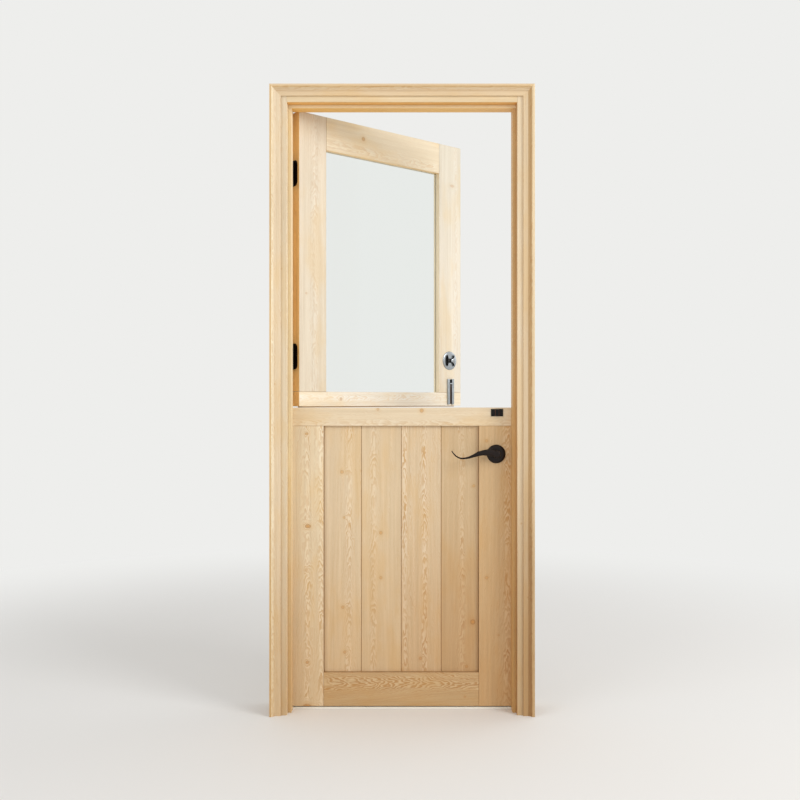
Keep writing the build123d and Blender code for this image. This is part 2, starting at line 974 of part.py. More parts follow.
def upper_rail_tenon(side, grow=0.0):
    """Tenon on an end of the upper top rail, let into a stile."""
    shoulder = half_leaf - stile_width
    reach = sorted((side * shoulder, side * (shoulder + tenon_length + grow)))
    height = (
        upper_top - upper_top_rail_height + tenon_shoulder - grow,
        upper_top - tenon_shoulder + grow,
    )
    return box(reach, around(0, tenon_thickness + 2 * grow), height)


def upper_stile(side):
    """Plain stile of the upper leaf, with its tenon and mortise."""
    x = sorted((side * half_leaf, side * (half_leaf - stile_width)))
    z = (upper_bottom + upper_bottom_rail_height, upper_top)
    body = eased_box(x, (room_face, out_face), z) - glass_space()
    return body - upper_rail_tenon(side, joint_clearance) + upper_stile_tenon(side)


def upper_hinge_stile():
    """Left stile of the upper leaf, let in for two hinges."""
    cuts = []
    for centre in hinge_heights[:2]:
        cuts.append(hinge_mortise(centre, on_leaf=True))
        cuts.extend(screw_holes(hinge_screw_places(centre, on_leaf=True)))
    return upper_stile(-1) - cuts


def upper_lock_stile():
    """Right stile of the upper leaf, bored for the deadbolt."""
    cuts = lock_bores(deadbolt_z) + screw_holes(guide_screw_places())
    return upper_stile(1) - cuts


def upper_top_rail():
    """Top rail of the upper leaf, tenoned between the stiles."""
    half = half_leaf - stile_width
    z = (upper_top - upper_top_rail_height, upper_top)
    body = eased_box((-half, half), (room_face, out_face), z) - glass_space()
    return body + upper_rail_tenon(-1) + upper_rail_tenon(1)


def upper_bottom_rail():
    """Bottom rail of the upper leaf, across the feet of both stiles."""
    z = (upper_bottom, upper_bottom + upper_bottom_rail_height)
    cuts = [glass_space(), meeting_seal(joint_clearance)]
    cuts.extend(upper_stile_tenon(side, joint_clearance) for side in (-1, 1))
    cuts.extend(screw_holes(guide_screw_places()))
    return eased_box((-half_leaf, half_leaf), (room_face, out_face), z) - cuts


def meeting_seal(grow=0.0):
    """Seal in a groove under the upper leaf, just clear of the lower leaf."""
    return box(
        (-half_leaf + seal_hinge_inset - grow, half_leaf - seal_lock_inset + grow),
        around(0, seal_thickness + 2 * grow),
        (lower_top + seal_running_gap, upper_bottom + seal_groove_depth + grow),
    )


def glass_pane():
    """Single pane against the rebate."""
    half = half_leaf - stile_width + glass_rebate_width - glass_edge_gap
    low = upper_bottom + upper_bottom_rail_height - glass_rebate_width + glass_edge_gap
    high = upper_top - upper_top_rail_height + glass_rebate_width - glass_edge_gap
    return box((-half, half), around(0, glass_thickness), (low, high))


def bead_profile(place):
    """Section of a glazing bead: flat beside the leaf face, sloped down towards the glass."""
    depth = out_face - glass_thickness / 2
    outline = [(0, 0), (0, depth), (bead_flat, depth), (glass_rebate_width, bead_sight_depth)]
    outline.append((glass_rebate_width, 0))
    return polygon([place(across, out) for across, out in outline])


def glazing_beads():
    """Four beads, mitred round the outside of the glass."""
    half = half_leaf - stile_width + glass_rebate_width
    low = upper_bottom + upper_bottom_rail_height - glass_rebate_width
    high = upper_top - upper_top_rail_height + glass_rebate_width
    sight = half - glass_rebate_width
    sight_low = low + glass_rebate_width
    sight_high = high - glass_rebate_width
    base = glass_thickness / 2
    reach = (base, out_face)

    def upright(side):
        section = bead_profile(lambda across, out: (side * (half - across), base + out))
        corners = [(side * half, low), (side * half, high)]
        corners += [(side * sight, sight_high), (side * sight, sight_low)]
        return along_z(section, (low, high)) & along_y(polygon(corners), reach)

    def level(edge, sight_edge, way):
        section = bead_profile(lambda across, out: (base + out, edge + way * across))
        corners = [(-half, edge), (half, edge), (sight, sight_edge), (-sight, sight_edge)]
        return along_x(section, (-half, half)) & along_y(polygon(corners), reach)

    return [upright(-1), upright(1), level(low, sight_low, 1), level(high, sight_high, -1)]


def dutch_bolt_guide():
    """Guide with two cheeks that hold the sliding bar captive behind a narrower mouth."""
    front = room_face - guide_thickness
    height = (guide_bottom, guide_top)
    body = box(around(guide_x, guide_width), (front, room_face), height)
    rims = body.edges().filter_by(Axis.Z).sort_by(Axis.Y)[:2]
    body = fillet(rims, guide_round)
    cavity = box(
        around(guide_x, bar_width + 2 * bar_clearance),
        (bar_front - bar_clearance, room_face),
        height,
    )
    mouth = box(around(guide_x, guide_mouth_width), (front, room_face), height)
    return body - [cavity, mouth] - screw_holes(guide_screw_places())


def dutch_bolt_bar():
    """Sliding bar, drawn up, with a narrower nose, and a thumb piece over a rib at its top."""
    top = guide_top - bar_end_gap
    low = guide_bottom + bar_end_gap
    nose_top = low + bar_nose_length
    depth = (bar_front, bar_back)
    bar = box(around(guide_x, bar_width), depth, (nose_top, top))
    nose = box(around(guide_x, bar_nose_width), depth, (low, nose_top))
    guide_front = room_face - guide_thickness
    front = guide_front - thumb_rib_gap - thumb_reach
    foot = top - thumb_height
    thumb = box(around(guide_x, thumb_width), (front, bar_front), (foot - thumb_rib_height, top))
    thumb = fillet(thumb.faces().sort_by(Axis.Y)[0].edges(), thumb_round)
    rib_depth = (front, guide_front - thumb_rib_gap)
    rib = box(around(guide_x, thumb_rib_width), rib_depth, (foot - thumb_rib_height, foot))
    return bar + nose + thumb + rib


def upper_leaf_screws():
    """All screws of the upper leaf."""
    places = guide_screw_places() + lock_plate_screw_places(half_leaf, deadbolt_z, FACING_RIGHT)
    for centre in hinge_heights[:2]:
        places.extend(hinge_screw_places(centre, on_leaf=True))
    through = through_screw_spans(deadbolt_z, through_screw_seat, through_screw_seat)
    return Compound(solids_of(screws(places) + through))


def upper_leaf_nodes():
    """Everything that swings with the upper leaf, as it stands closed."""
    return {
        "upper_hinge_stile": upper_hinge_stile(),
        "upper_lock_stile": upper_lock_stile(),
        "upper_top_rail": upper_top_rail(),
        "upper_bottom_rail": upper_bottom_rail(),
        "glass_pane": glass_pane(),
        "glazing_beads": Compound(solids_of(glazing_beads())),
        "meeting_seal": meeting_seal(),
        "hinge_leaf_plate_1": hinge_plate(hinge_heights[0], on_leaf=True),
        "hinge_leaf_plate_2": hinge_plate(hinge_heights[1], on_leaf=True),
        "deadbolt_case": deadbolt_case(),
        "deadbolt_rose": deadbolt_rose(),
        "cylinder_collar": cylinder_collar(),
        "dutch_bolt_guide": dutch_bolt_guide(),
        "upper_leaf_screws": upper_leaf_screws(),
        "thumb_turn": thumb_turn(),
        "tailpiece": tailpiece_box(),
        "deadbolt_bolt": deadbolt_bolt(),
        "cylinder_plug": cylinder_plug(),
        "dutch_bolt_bar": dutch_bolt_bar(),
    }


# Lower leaf


def lower_opening():
    """Sides of the boarded space in the lower leaf, in x and in z."""
    x = (-half_leaf + stile_width, half_leaf - lower_lock_stile_width)
    z = (lower_bottom + lower_bottom_rail_height, lower_top - lower_top_rail_height)
    return x, z


def board_groove():
    """Groove round the boarded space that takes the edges of the boards."""
    x, z = lower_opening()
    depth = board_groove_depth + board_clearance
    return box(
        (x[0] - depth, x[1] + depth),
        around(0, board_edge_thickness + board_clearance),
        (z[0] - depth, z[1] + depth),
    )


def lower_stile_tenon(x, grow=0.0):
    """Tenon on the head of a lower stile, let into the top rail."""
    shoulder = lower_top - lower_top_rail_height
    return box(
        (x[0] + tenon_shoulder - grow, x[1] - tenon_shoulder + grow),
        around(0, tenon_thickness + 2 * grow),
        (shoulder, shoulder + tenon_length + grow),
    )


def lower_rail_tenon(shoulder, way, grow=0.0):
    """Tenon on an end of the lower bottom rail, let into a stile."""
    reach = sorted((shoulder, shoulder + way * (tenon_length + grow)))
    height = (
        lower_bottom + tenon_shoulder - grow,
        lower_bottom + lower_bottom_rail_height - tenon_shoulder + grow,
    )
    return box(reach, around(0, tenon_thickness + 2 * grow), height)


def lower_stile_span(side):
    """The two edges of a lower stile in x."""
    x, _ = lower_opening()
    return (-half_leaf, x[0]) if side < 0 else (x[1], half_leaf)


def lower_stile(side):
    """Plain stile of the lower leaf, with its tenon, mortise and groove."""
    x = lower_stile_span(side)
    shoulder = x[1] if side < 0 else x[0]
    body = eased_box(x, (room_face, out_face), (lower_bottom, lower_top - lower_top_rail_height))
    body -= [board_groove(), lower_rail_tenon(shoulder, side, joint_clearance)]
    return body + lower_stile_tenon(x)


def lower_hinge_stile():
    """Left stile of the lower leaf, let in for two hinges."""
    cuts = []
    for centre in hinge_heights[2:]:
        cuts.append(hinge_mortise(centre, on_leaf=True))
        cuts.extend(screw_holes(hinge_screw_places(centre, on_leaf=True)))
    return lower_stile(-1) - cuts


def lower_lock_stile():
    """Right stile of the lower leaf, bored for the latch."""
    return lower_stile(1) - lock_bores(lever_z)


def lower_top_rail():
    """Top rail of the lower leaf, across the heads of both stiles."""
    z = (lower_top - lower_top_rail_height, lower_top)
    cuts = [board_groove()]
    for side in (-1, 1):
        cuts.append(lower_stile_tenon(lower_stile_span(side), joint_clearance))
    cuts.extend(screw_holes(keeper_screw_places()))
    return eased_box((-half_leaf, half_leaf), (room_face, out_face), z) - cuts


def lower_bottom_rail():
    """Bottom rail of the lower leaf, tenoned between the stiles."""
    x, _ = lower_opening()
    z = (lower_bottom, lower_bottom + lower_bottom_rail_height)
    body = eased_box(x, (room_face, out_face), z) - board_groove()
    return body + lower_rail_tenon(x[0], -1) + lower_rail_tenon(x[1], 1)


def board_edges():
    """Where one board ends and the next begins, from left to right."""
    x, _ = lower_opening()
    middle = (x[0] + x[1]) / 2
    return [x[0], middle - board_width, middle, middle + board_width, x[1]]


def board(index):
    """One board: thinned at its ends and outer edges, with a tongue or groove at each joint."""
    edges = board_edges()
    left, right = edges[index], edges[index + 1]
    first = index == 0
    last = index == len(edges) - 2
    _, z = lower_opening()
    reach = board_groove_depth
    full = box(
        (left + (board_clearance if first else 0), right - (board_clearance if last else 0)),
        around(0, board_thickness),
        (z[0] + board_clearance, z[1] - board_clearance),
    )
    uprights = full.edges().filter_by(Axis.Z)
    full = chamfer(uprights, board_v_depth)
    thin = box(
        (left - (reach if first else 0), right + (reach if last else 0)),
        around(0, board_edge_thickness),
        (z[0] - reach, z[1] + reach),
    )
    body = full + thin
    tongue_height = (z[0] - reach, z[1] + reach)
    if not last:
        groove = (right - board_tongue_length - board_clearance, right)
        width = around(0, board_tongue_thickness + board_clearance)
        body -= box(groove, width, tongue_height)
    if not first:
        tongue = (left - board_tongue_length, left)
        body += box(tongue, around(0, board_tongue_thickness), tongue_height)
    return body


def dutch_bolt_keeper():
    """Keeper for the sliding bar: two flanges joined by a raised loop."""
    z = (keeper_top - keeper_height, keeper_top)
    channel_front = bar_front - keeper_clearance
    channel_width = bar_nose_width + 2 * keeper_clearance
    loop_front = channel_front - keeper_wall
    flanges = box(
        around(guide_x, keeper_width), (room_face - keeper_plate_thickness, room_face), z
    )
    loop = box(around(guide_x, channel_width + 2 * keeper_wall), (loop_front, room_face), z)
    loop = fillet(loop.edges().filter_by(Axis.Z).sort_by(Axis.Y)[:2], keeper_round)
    channel = box(around(guide_x, channel_width), (channel_front, room_face), z)
    return flanges + loop - [channel] - screw_holes(keeper_screw_places())


def lower_leaf_screws():
    """All screws of the lower leaf."""
    places = keeper_screw_places() + lock_plate_screw_places(half_leaf, lever_z, FACING_RIGHT)
    for centre in hinge_heights[2:]:
        places.extend(hinge_screw_places(centre, on_leaf=True))
    through = through_screw_spans(lever_z, through_screw_seat, through_screw_seat)
    return Compound(solids_of(screws(places) + through))


def lower_leaf_nodes():
    """Everything that swings with the lower leaf."""
    nodes = {
        "lower_hinge_stile": lower_hinge_stile(),
        "lower_lock_stile": lower_lock_stile(),
        "lower_top_rail": lower_top_rail(),
        "lower_bottom_rail": lower_bottom_rail(),
        "hinge_leaf_plate_3": hinge_plate(hinge_heights[2], on_leaf=True),
        "hinge_leaf_plate_4": hinge_plate(hinge_heights[3], on_leaf=True),
        "dutch_bolt_keeper": dutch_bolt_keeper(),
        "latch_case": latch_case(),
        "latch_bolt": latch_bolt(),
        "inside_rose": lever_rose(),
        "outside_rose": mirror(lever_rose(), Plane.XZ),
        "inside_lever": inside_lever(),
        "outside_lever": mirror(inside_lever(), Plane.XZ),
        "spindle": spindle(),
        "lower_leaf_screws": lower_leaf_screws(),
    }
    for index in range(len(board_edges()) - 1):
        nodes["board_" + str(index + 1)] = board(index)
    return nodes


# Whole door


def solids_of(shapes):
    """The solids of a list of shapes."""
    return [solid for shape in shapes for solid in shape.solids()]


def frame_screws():
    """Screws of the hinges' frame plates, of the strikes and of the head joints."""
    places = []
    for centre in hinge_heights:
        places.extend(hinge_screw_places(centre, on_leaf=False))
    for z in (deadbolt_z, lever_z):
        places.extend(lock_plate_screw_places(half_opening, z, FACING_LEFT))
    joints = head_joint_screw_places(-1) + head_joint_screw_places(1)
    return Compound(solids_of(screws(places) + screws(joints, joint_screw_length)))


def door_nodes():
    """Every piece of the door by name."""
    nodes = frame_nodes() | hinge_nodes() | lower_leaf_nodes()
    nodes["deadbolt_strike"] = deadbolt_strike()
    nodes["latch_strike"] = latch_strike()
    nodes["frame_screws"] = frame_screws()
    for name, shape in upper_leaf_nodes().items():
        nodes[name] = swung(shape)
    return nodes


def main():
    """Write one STEP file for each piece."""
    os.makedirs("parts", exist_ok=True)
    for name, shape in door_nodes().items():
        export_step(shape, "parts/" + name + ".step")


if __name__ == "__main__":
    main()
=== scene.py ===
"""Looks of a dutch stable door: pale pine joinery, clear glass, black and satin metal."""

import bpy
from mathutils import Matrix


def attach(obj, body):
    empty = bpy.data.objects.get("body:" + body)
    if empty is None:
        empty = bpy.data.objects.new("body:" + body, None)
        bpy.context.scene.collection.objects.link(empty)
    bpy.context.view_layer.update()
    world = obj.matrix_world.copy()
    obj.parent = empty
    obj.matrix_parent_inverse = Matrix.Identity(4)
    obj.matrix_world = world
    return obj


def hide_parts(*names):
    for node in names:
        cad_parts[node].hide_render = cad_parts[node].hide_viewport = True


bl_info = {
    "name": "Dutch stable door",
    "version": (1, 0, 0),
    "blender": (4, 5, 0),
    "location": "3D View > Sidebar > Door",
    "description": "Dresses a packed stable door with pine, glass and metal",
    "category": "Object",
}

import math
from collections import namedtuple

import bmesh
import bpy
from bpy.props import FloatProperty, FloatVectorProperty, IntProperty, PointerProperty
from mathutils import Matrix, Vector

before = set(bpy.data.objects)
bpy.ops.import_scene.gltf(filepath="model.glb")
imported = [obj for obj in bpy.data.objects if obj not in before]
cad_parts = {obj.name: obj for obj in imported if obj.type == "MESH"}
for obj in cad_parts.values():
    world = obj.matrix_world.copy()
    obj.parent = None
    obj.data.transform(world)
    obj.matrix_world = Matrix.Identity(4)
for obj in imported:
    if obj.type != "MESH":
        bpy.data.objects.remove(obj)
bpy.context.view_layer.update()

MM = 0.001

# Fixed places of the door, in metres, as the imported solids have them
HINGE_AXIS = Vector((-0.3825, 0.026, 0.0))
OPEN_ANGLE = math.radians(40.0)
HALF_LEAF = 0.381
HALF_OPENING = 0.384
OUT_FACE = 0.020
ROOM_FACE = -0.020
JAMB_FRONT = -0.0915
HEAD_UNDERSIDE = 2.045
LOCK_X = 0.321
DEADBOLT_Z = 1.205
LEVER_Z = 0.868
GUIDE_X = 0.324
GUIDE_BOTTOM = 1.035
GUIDE_TOP = 1.134
KEEPER_Z = 1.0089
KEEPER_LOOP = 0.0066
HINGE_HEIGHTS = (1.833, 1.202, 0.854, 0.217)

# Turns a piece of the closed upper leaf to where the leaf stands open
SWING = (
    Matrix.Translation(HINGE_AXIS)
    @ Matrix.Rotation(OPEN_ANGLE, 4, "Z")
    @ Matrix.Translation(-HINGE_AXIS)
)


# Sizes and colours that a user can change


def length(name, description, default):
    """Length property in metres."""
    return FloatProperty(
        name=name, description=description, default=default, min=0.0, unit="LENGTH", precision=4
    )


def colour(name, description, default):
    """Colour property, given as it shows on a screen from 0 to 255."""
    return FloatVectorProperty(
        name=name,
        description=description,
        default=linear(*default),
        subtype="COLOR",
        size=3,
        min=0.0,
        max=1.0,
    )


def linear(*screen):
    """Screen colour from 0 to 255 as linear light."""
    shares = [value / 255 for value in screen]
    return tuple(s / 12.92 if s <= 0.04045 else ((s + 0.055) / 1.055) ** 2.4 for s in shares)


class DoorSizes(bpy.types.PropertyGroup):
    """Sizes of the dressed pieces."""

    casing_width: length("Casing width", "Width of the room side casing", 0.037)
    casing_thickness: length("Casing thickness", "Thickness of the casing at its rim", 0.0175)
    casing_flat_width: length("Casing flat width", "Width of the flat beside the jamb", 0.016)
    casing_flat_height: length("Casing flat height", "Thickness of that flat", 0.0068)
    casing_rim_width: length("Casing rim width", "Width of the outer rim", 0.008)
    casing_round: length("Casing rounding", "Radius of the casing's rounded edges", 0.0015)
    casing_setback: length("Casing setback", "Jamb edge left showing beside the casing", 0.020)
    moulding_width: length("Moulding width", "Width of the outside moulding", 0.047)
    moulding_thickness: length("Moulding thickness", "Thickness of the outside moulding", 0.030)
    moulding_step_width: length("Moulding step width", "Width of its lower step", 0.016)
    moulding_step_height: length("Moulding step height", "Thickness of its lower step", 0.020)
    moulding_setback: length("Moulding setback", "Jamb edge left showing beside it", 0.010)
    ring_spacing: length("Ring spacing", "Mean width of a growth ring in the pine", 0.0023)
    screw_head_radius: length("Screw head radius", "Radius of a countersunk head", 0.0038)
    screw_head_depth: length("Screw head depth", "Depth of a countersunk head", 0.0022)
    screw_shank_radius: length("Screw shank radius", "Radius of a screw's shank", 0.0019)
    recess_width: length("Recess width", "Width of the arms of a screw's cross recess", 0.0010)
    metal_edge: length("Metal edge", "Rounding on the edges of metal plates", 0.0004)
    lever_detail: length("Lever detail", "Grid size that blends the lever's blade and hub", 0.0009)
    lever_smoothing: IntProperty(
        name="Lever smoothing",
        description="Smoothing passes over the lever's blended shape",
        default=8,
        min=0,
    )


class DoorColours(bpy.types.PropertyGroup):
    """Colours of the finishes."""

    knot: colour("Knot", "Middle of a knot", (206, 150, 74))
    knot_edge: colour("Knot edge", "Dark edge of a knot", (152, 98, 40))
    joint: colour("Joint", "Shadow and dust in the joints", (138, 92, 48))
    black_metal: colour("Black metal", "Lever, keeper and hinges", (15, 12, 11))
    # Copper brown painted highlight on the edges of the keeper's loop, also the base of the black
    # metal's faint brown cast
    wear_and_glint: colour("Worn black", "Copper brown where the keeper's loop is rubbed", (128, 74, 48))
    silver: colour("Silver", "Deadbolt's rose and the bolt's guide", (168, 173, 177))
    # Dark metal of the bar, its brown partly a painted reflection of the wood around it
    dark_bar_and_reflection: colour("Dark bar", "Sliding bar behind the guide's mouth", (74, 50, 32))
    steel: colour("Steel", "Screws, latch and lock cases", (176, 175, 170))
    seal: colour("Seal", "Seal under the upper leaf", (206, 178, 140))
    sill: colour("Sill", "Strip on the floor between the jambs", (232, 226, 212))
    glass: colour("Glass", "Tint of the pane", (238, 246, 243))
    floor: colour("Floor", "Floor under the door", (232, 231, 229))
    backdrop: colour("Backdrop", "Plain surroundings", (238, 238, 236))


# Node trees


class Value:
    """A socket of a tree. Sums on it add Math nodes."""

    def __init__(self, tree, socket):
        self.tree = tree
        self.socket = socket

    def maths(self, operation, *values):
        """Add one Math node."""
        return self.tree.node("ShaderNodeMath", values, operation=operation)

    def __add__(self, other):
        return self.maths("ADD", self, other)

    __radd__ = __add__

    def __sub__(self, other):
        return self.maths("SUBTRACT", self, other)

    def __rsub__(self, other):
        return self.maths("SUBTRACT", other, self)

    def __mul__(self, other):
        return self.maths("MULTIPLY", self, other)

    __rmul__ = __mul__

    def __truediv__(self, other):
        return self.maths("DIVIDE", self, other)

    def __rtruediv__(self, other):
        return self.maths("DIVIDE", other, self)

    def __pow__(self, other):
        return self.maths("POWER", self, other)

    def __neg__(self):
        return self.maths("MULTIPLY", self, -1.0)

    def __abs__(self):
        return self.maths("ABSOLUTE", self)

    def exp(self):
        return self.maths("EXPONENT", self)

    def fraction(self):
        return self.maths("FRACT", self)

    def least(self, other):
        return self.maths("MINIMUM", self, other)

    def most(self, other):
        return self.maths("MAXIMUM", self, other)


class Tree:
    """A node tree with one way to add any node."""

    def __init__(self, nodes):
        self.nodes = nodes
        self.nodes.nodes.clear()

    def node(self, kind, values=(), output=0, **settings):
        """Add a node, its settings first, then its sockets by place or name."""
        made = self.nodes.nodes.new(kind)
        for key, setting in settings.items():
            setattr(made, key, setting)
        pairs = values.items() if isinstance(values, dict) else enumerate(values)
        for key, value in pairs:
            self.feed(made.inputs[key], value)
        return Value(self, made.outputs[output]) if len(made.outputs) else made

    def feed(self, socket, value):
        """Link a value into a socket, or set the socket to a number."""
        if isinstance(value, Value):
            self.nodes.links.new(value.socket, socket)
        else:
            socket.default_value = value


class Finish(Tree):
    """A material's tree, built towards one Principled shader."""

    def __init__(self, name):
        self.material = bpy.data.materials.new(name)
        self.material.use_nodes = True
        super().__init__(self.material.node_tree)

    def place(self, swung=False):
        """Object coordinates. Those of the open leaf are turned back to the closed one."""
        coordinates = self.node("ShaderNodeTexCoord", output="Object")
        if not swung:
            return coordinates
        back = Matrix.Rotation(-OPEN_ANGLE, 3, "Z")
        settings = {
            "Vector": coordinates,
            "Location": HINGE_AXIS - back @ HINGE_AXIS,
            "Rotation": (0.0, 0.0, -OPEN_ANGLE),
        }
        return self.node("ShaderNodeMapping", settings)

    def split(self, vector):
        """The three parts of a vector."""
        made = self.node("ShaderNodeSeparateXYZ", [vector])
        outputs = made.socket.node.outputs
        return [Value(self, outputs[index]) for index in range(3)]

    def stretched(self, vector, scales, shift):
        """A vector scaled along each axis and moved."""
        offset = (shift, shift * 1.37, shift * 0.71)
        values = [vector, scales, offset]
        return self.node("ShaderNodeVectorMath", values, operation="MULTIPLY_ADD")

    def noise(self, vector, scale=1.0, detail=2.0, roughness=0.5):
        """Soft noise from nought to one."""
        values = {"Vector": vector, "Scale": scale, "Detail": detail, "Roughness": roughness}
        return self.node("ShaderNodeTexNoise", values)

    def step(self, value, low, high):
        """Smooth step from nought at low to one at high."""
        values = {"Value": value, "From Min": low, "From Max": high}
        return self.node("ShaderNodeMapRange", values, interpolation_type="SMOOTHSTEP")

    def mix(self, factor, first, second, blend="MIX"):
        """Blend two colours."""
        values = {0: factor, 6: first, 7: second}
        return self.node("ShaderNodeMix", values, output=2, data_type="RGBA", blend_type=blend)

    def bump(self, height, strength, distance):
        """Normal from a height."""
        values = {"Height": height, "Strength": strength, "Distance": distance}
        return self.node("ShaderNodeBump", values)

    def finish(self, **values):
        """End the tree in a Principled shader."""
        named = {key.replace("_", " "): value for key, value in values.items()}
        shader = self.node("ShaderNodeBsdfPrincipled", named)
        self.node("ShaderNodeOutputMaterial", {"Surface": shader})
        return self.material


def rgba(shade, factor=1.0):
    """Colour with full alpha, made lighter or darker by a factor for each part."""
    factors = factor if isinstance(factor, tuple) else (factor, factor, factor)
    return tuple(min(1.0, part * f) for part, f in zip(shade, factors)) + (1.0,)


# Pine


# A knot's place across and along the grain, its radius, and how dark and how flat it is
Knot = namedtuple("Knot", "across along radius darkness flat", defaults=(1.0,))
Plank = namedtuple("Plank", "upright tone flames depth run contrast spread knots swung bands")
Band = namedtuple("Band", "tone axis low high")

CREAM = (226, 212, 188)
PALE = (226, 206, 174)
HONEY = (221, 198, 162)

# Faces and strips of another tone, from a low to a high limit in millimetres along an axis.
# The glint, the reveals, the stop's inner face and underside and the right hollow are painted
# highlight and painted shade: lighter where a face turns to the light, darker where it turns
# away, and a warm orange on the undersides in their shade.
# Painted warm bounce light: the leaf's hinge edge, a deeper orange than its face
HINGE_EDGE_BOUNCE = Band((250, 206, 136), "x", -400, -380.7)
LEFT_RIM = Band((214, 182, 132), "x", -439, -434.5)
LEFT_GLINT = Band((242, 228, 198), "x", -434.5, -427)
RIGHT_HOLLOW_SHADE = Band((190, 156, 108), "x", 420, 430.8)
RIGHT_RIM = Band((227, 205, 167), "x", 430.8, 450)
HEAD_RIM = Band((214, 184, 138), "z", 2091, 2096)
LEFT_REVEAL_HIGHLIGHT = Band((244, 230, 200), "x", -384.5, -380)
RIGHT_REVEAL_SHADE = Band((204, 166, 116), "x", 380, 384.5)
HEAD_REVEAL_SHADE = Band((240, 184, 104), "z", 2040, 2045.5)
STOP_INNER_HIGHLIGHT = Band((242, 222, 184), "x", -372.6, -365)
STOP_UNDER_SHADE = Band((240, 190, 108), "z", 2028, 2033.6)
# Painted light: the faces beside the glass, paler than the rest of the stile and rail
GLASS_SIDE_LIGHT = Band((252, 236, 204), "x", 255, 267.3)
GLASS_HEAD_LIGHT = Band((252, 218, 160), "z", 1915, 1927.3)

# Which way the grain of a piece runs
UPRIGHT, LEVEL = True, False


def plank(upright, tone, flames, depth, run, contrast, knots=(), spread=15, swung=False, bands=()):
    """How one piece of timber was cut, with lengths in millimetres from the door's origin.

    Tone is a screen colour from 0 to 255. Flames are the lines where the growth rings open
    out, depth is where their pith lies along Y, and run is how much they widen along the
    grain. Spread is the width of a flame, and swung says that the piece is stored turned
    with the open leaf.
    """
    marks = [Knot(*knot) for knot in knots]
    return Plank(upright, tone, flames, depth, run, contrast, spread, marks, swung, bands)
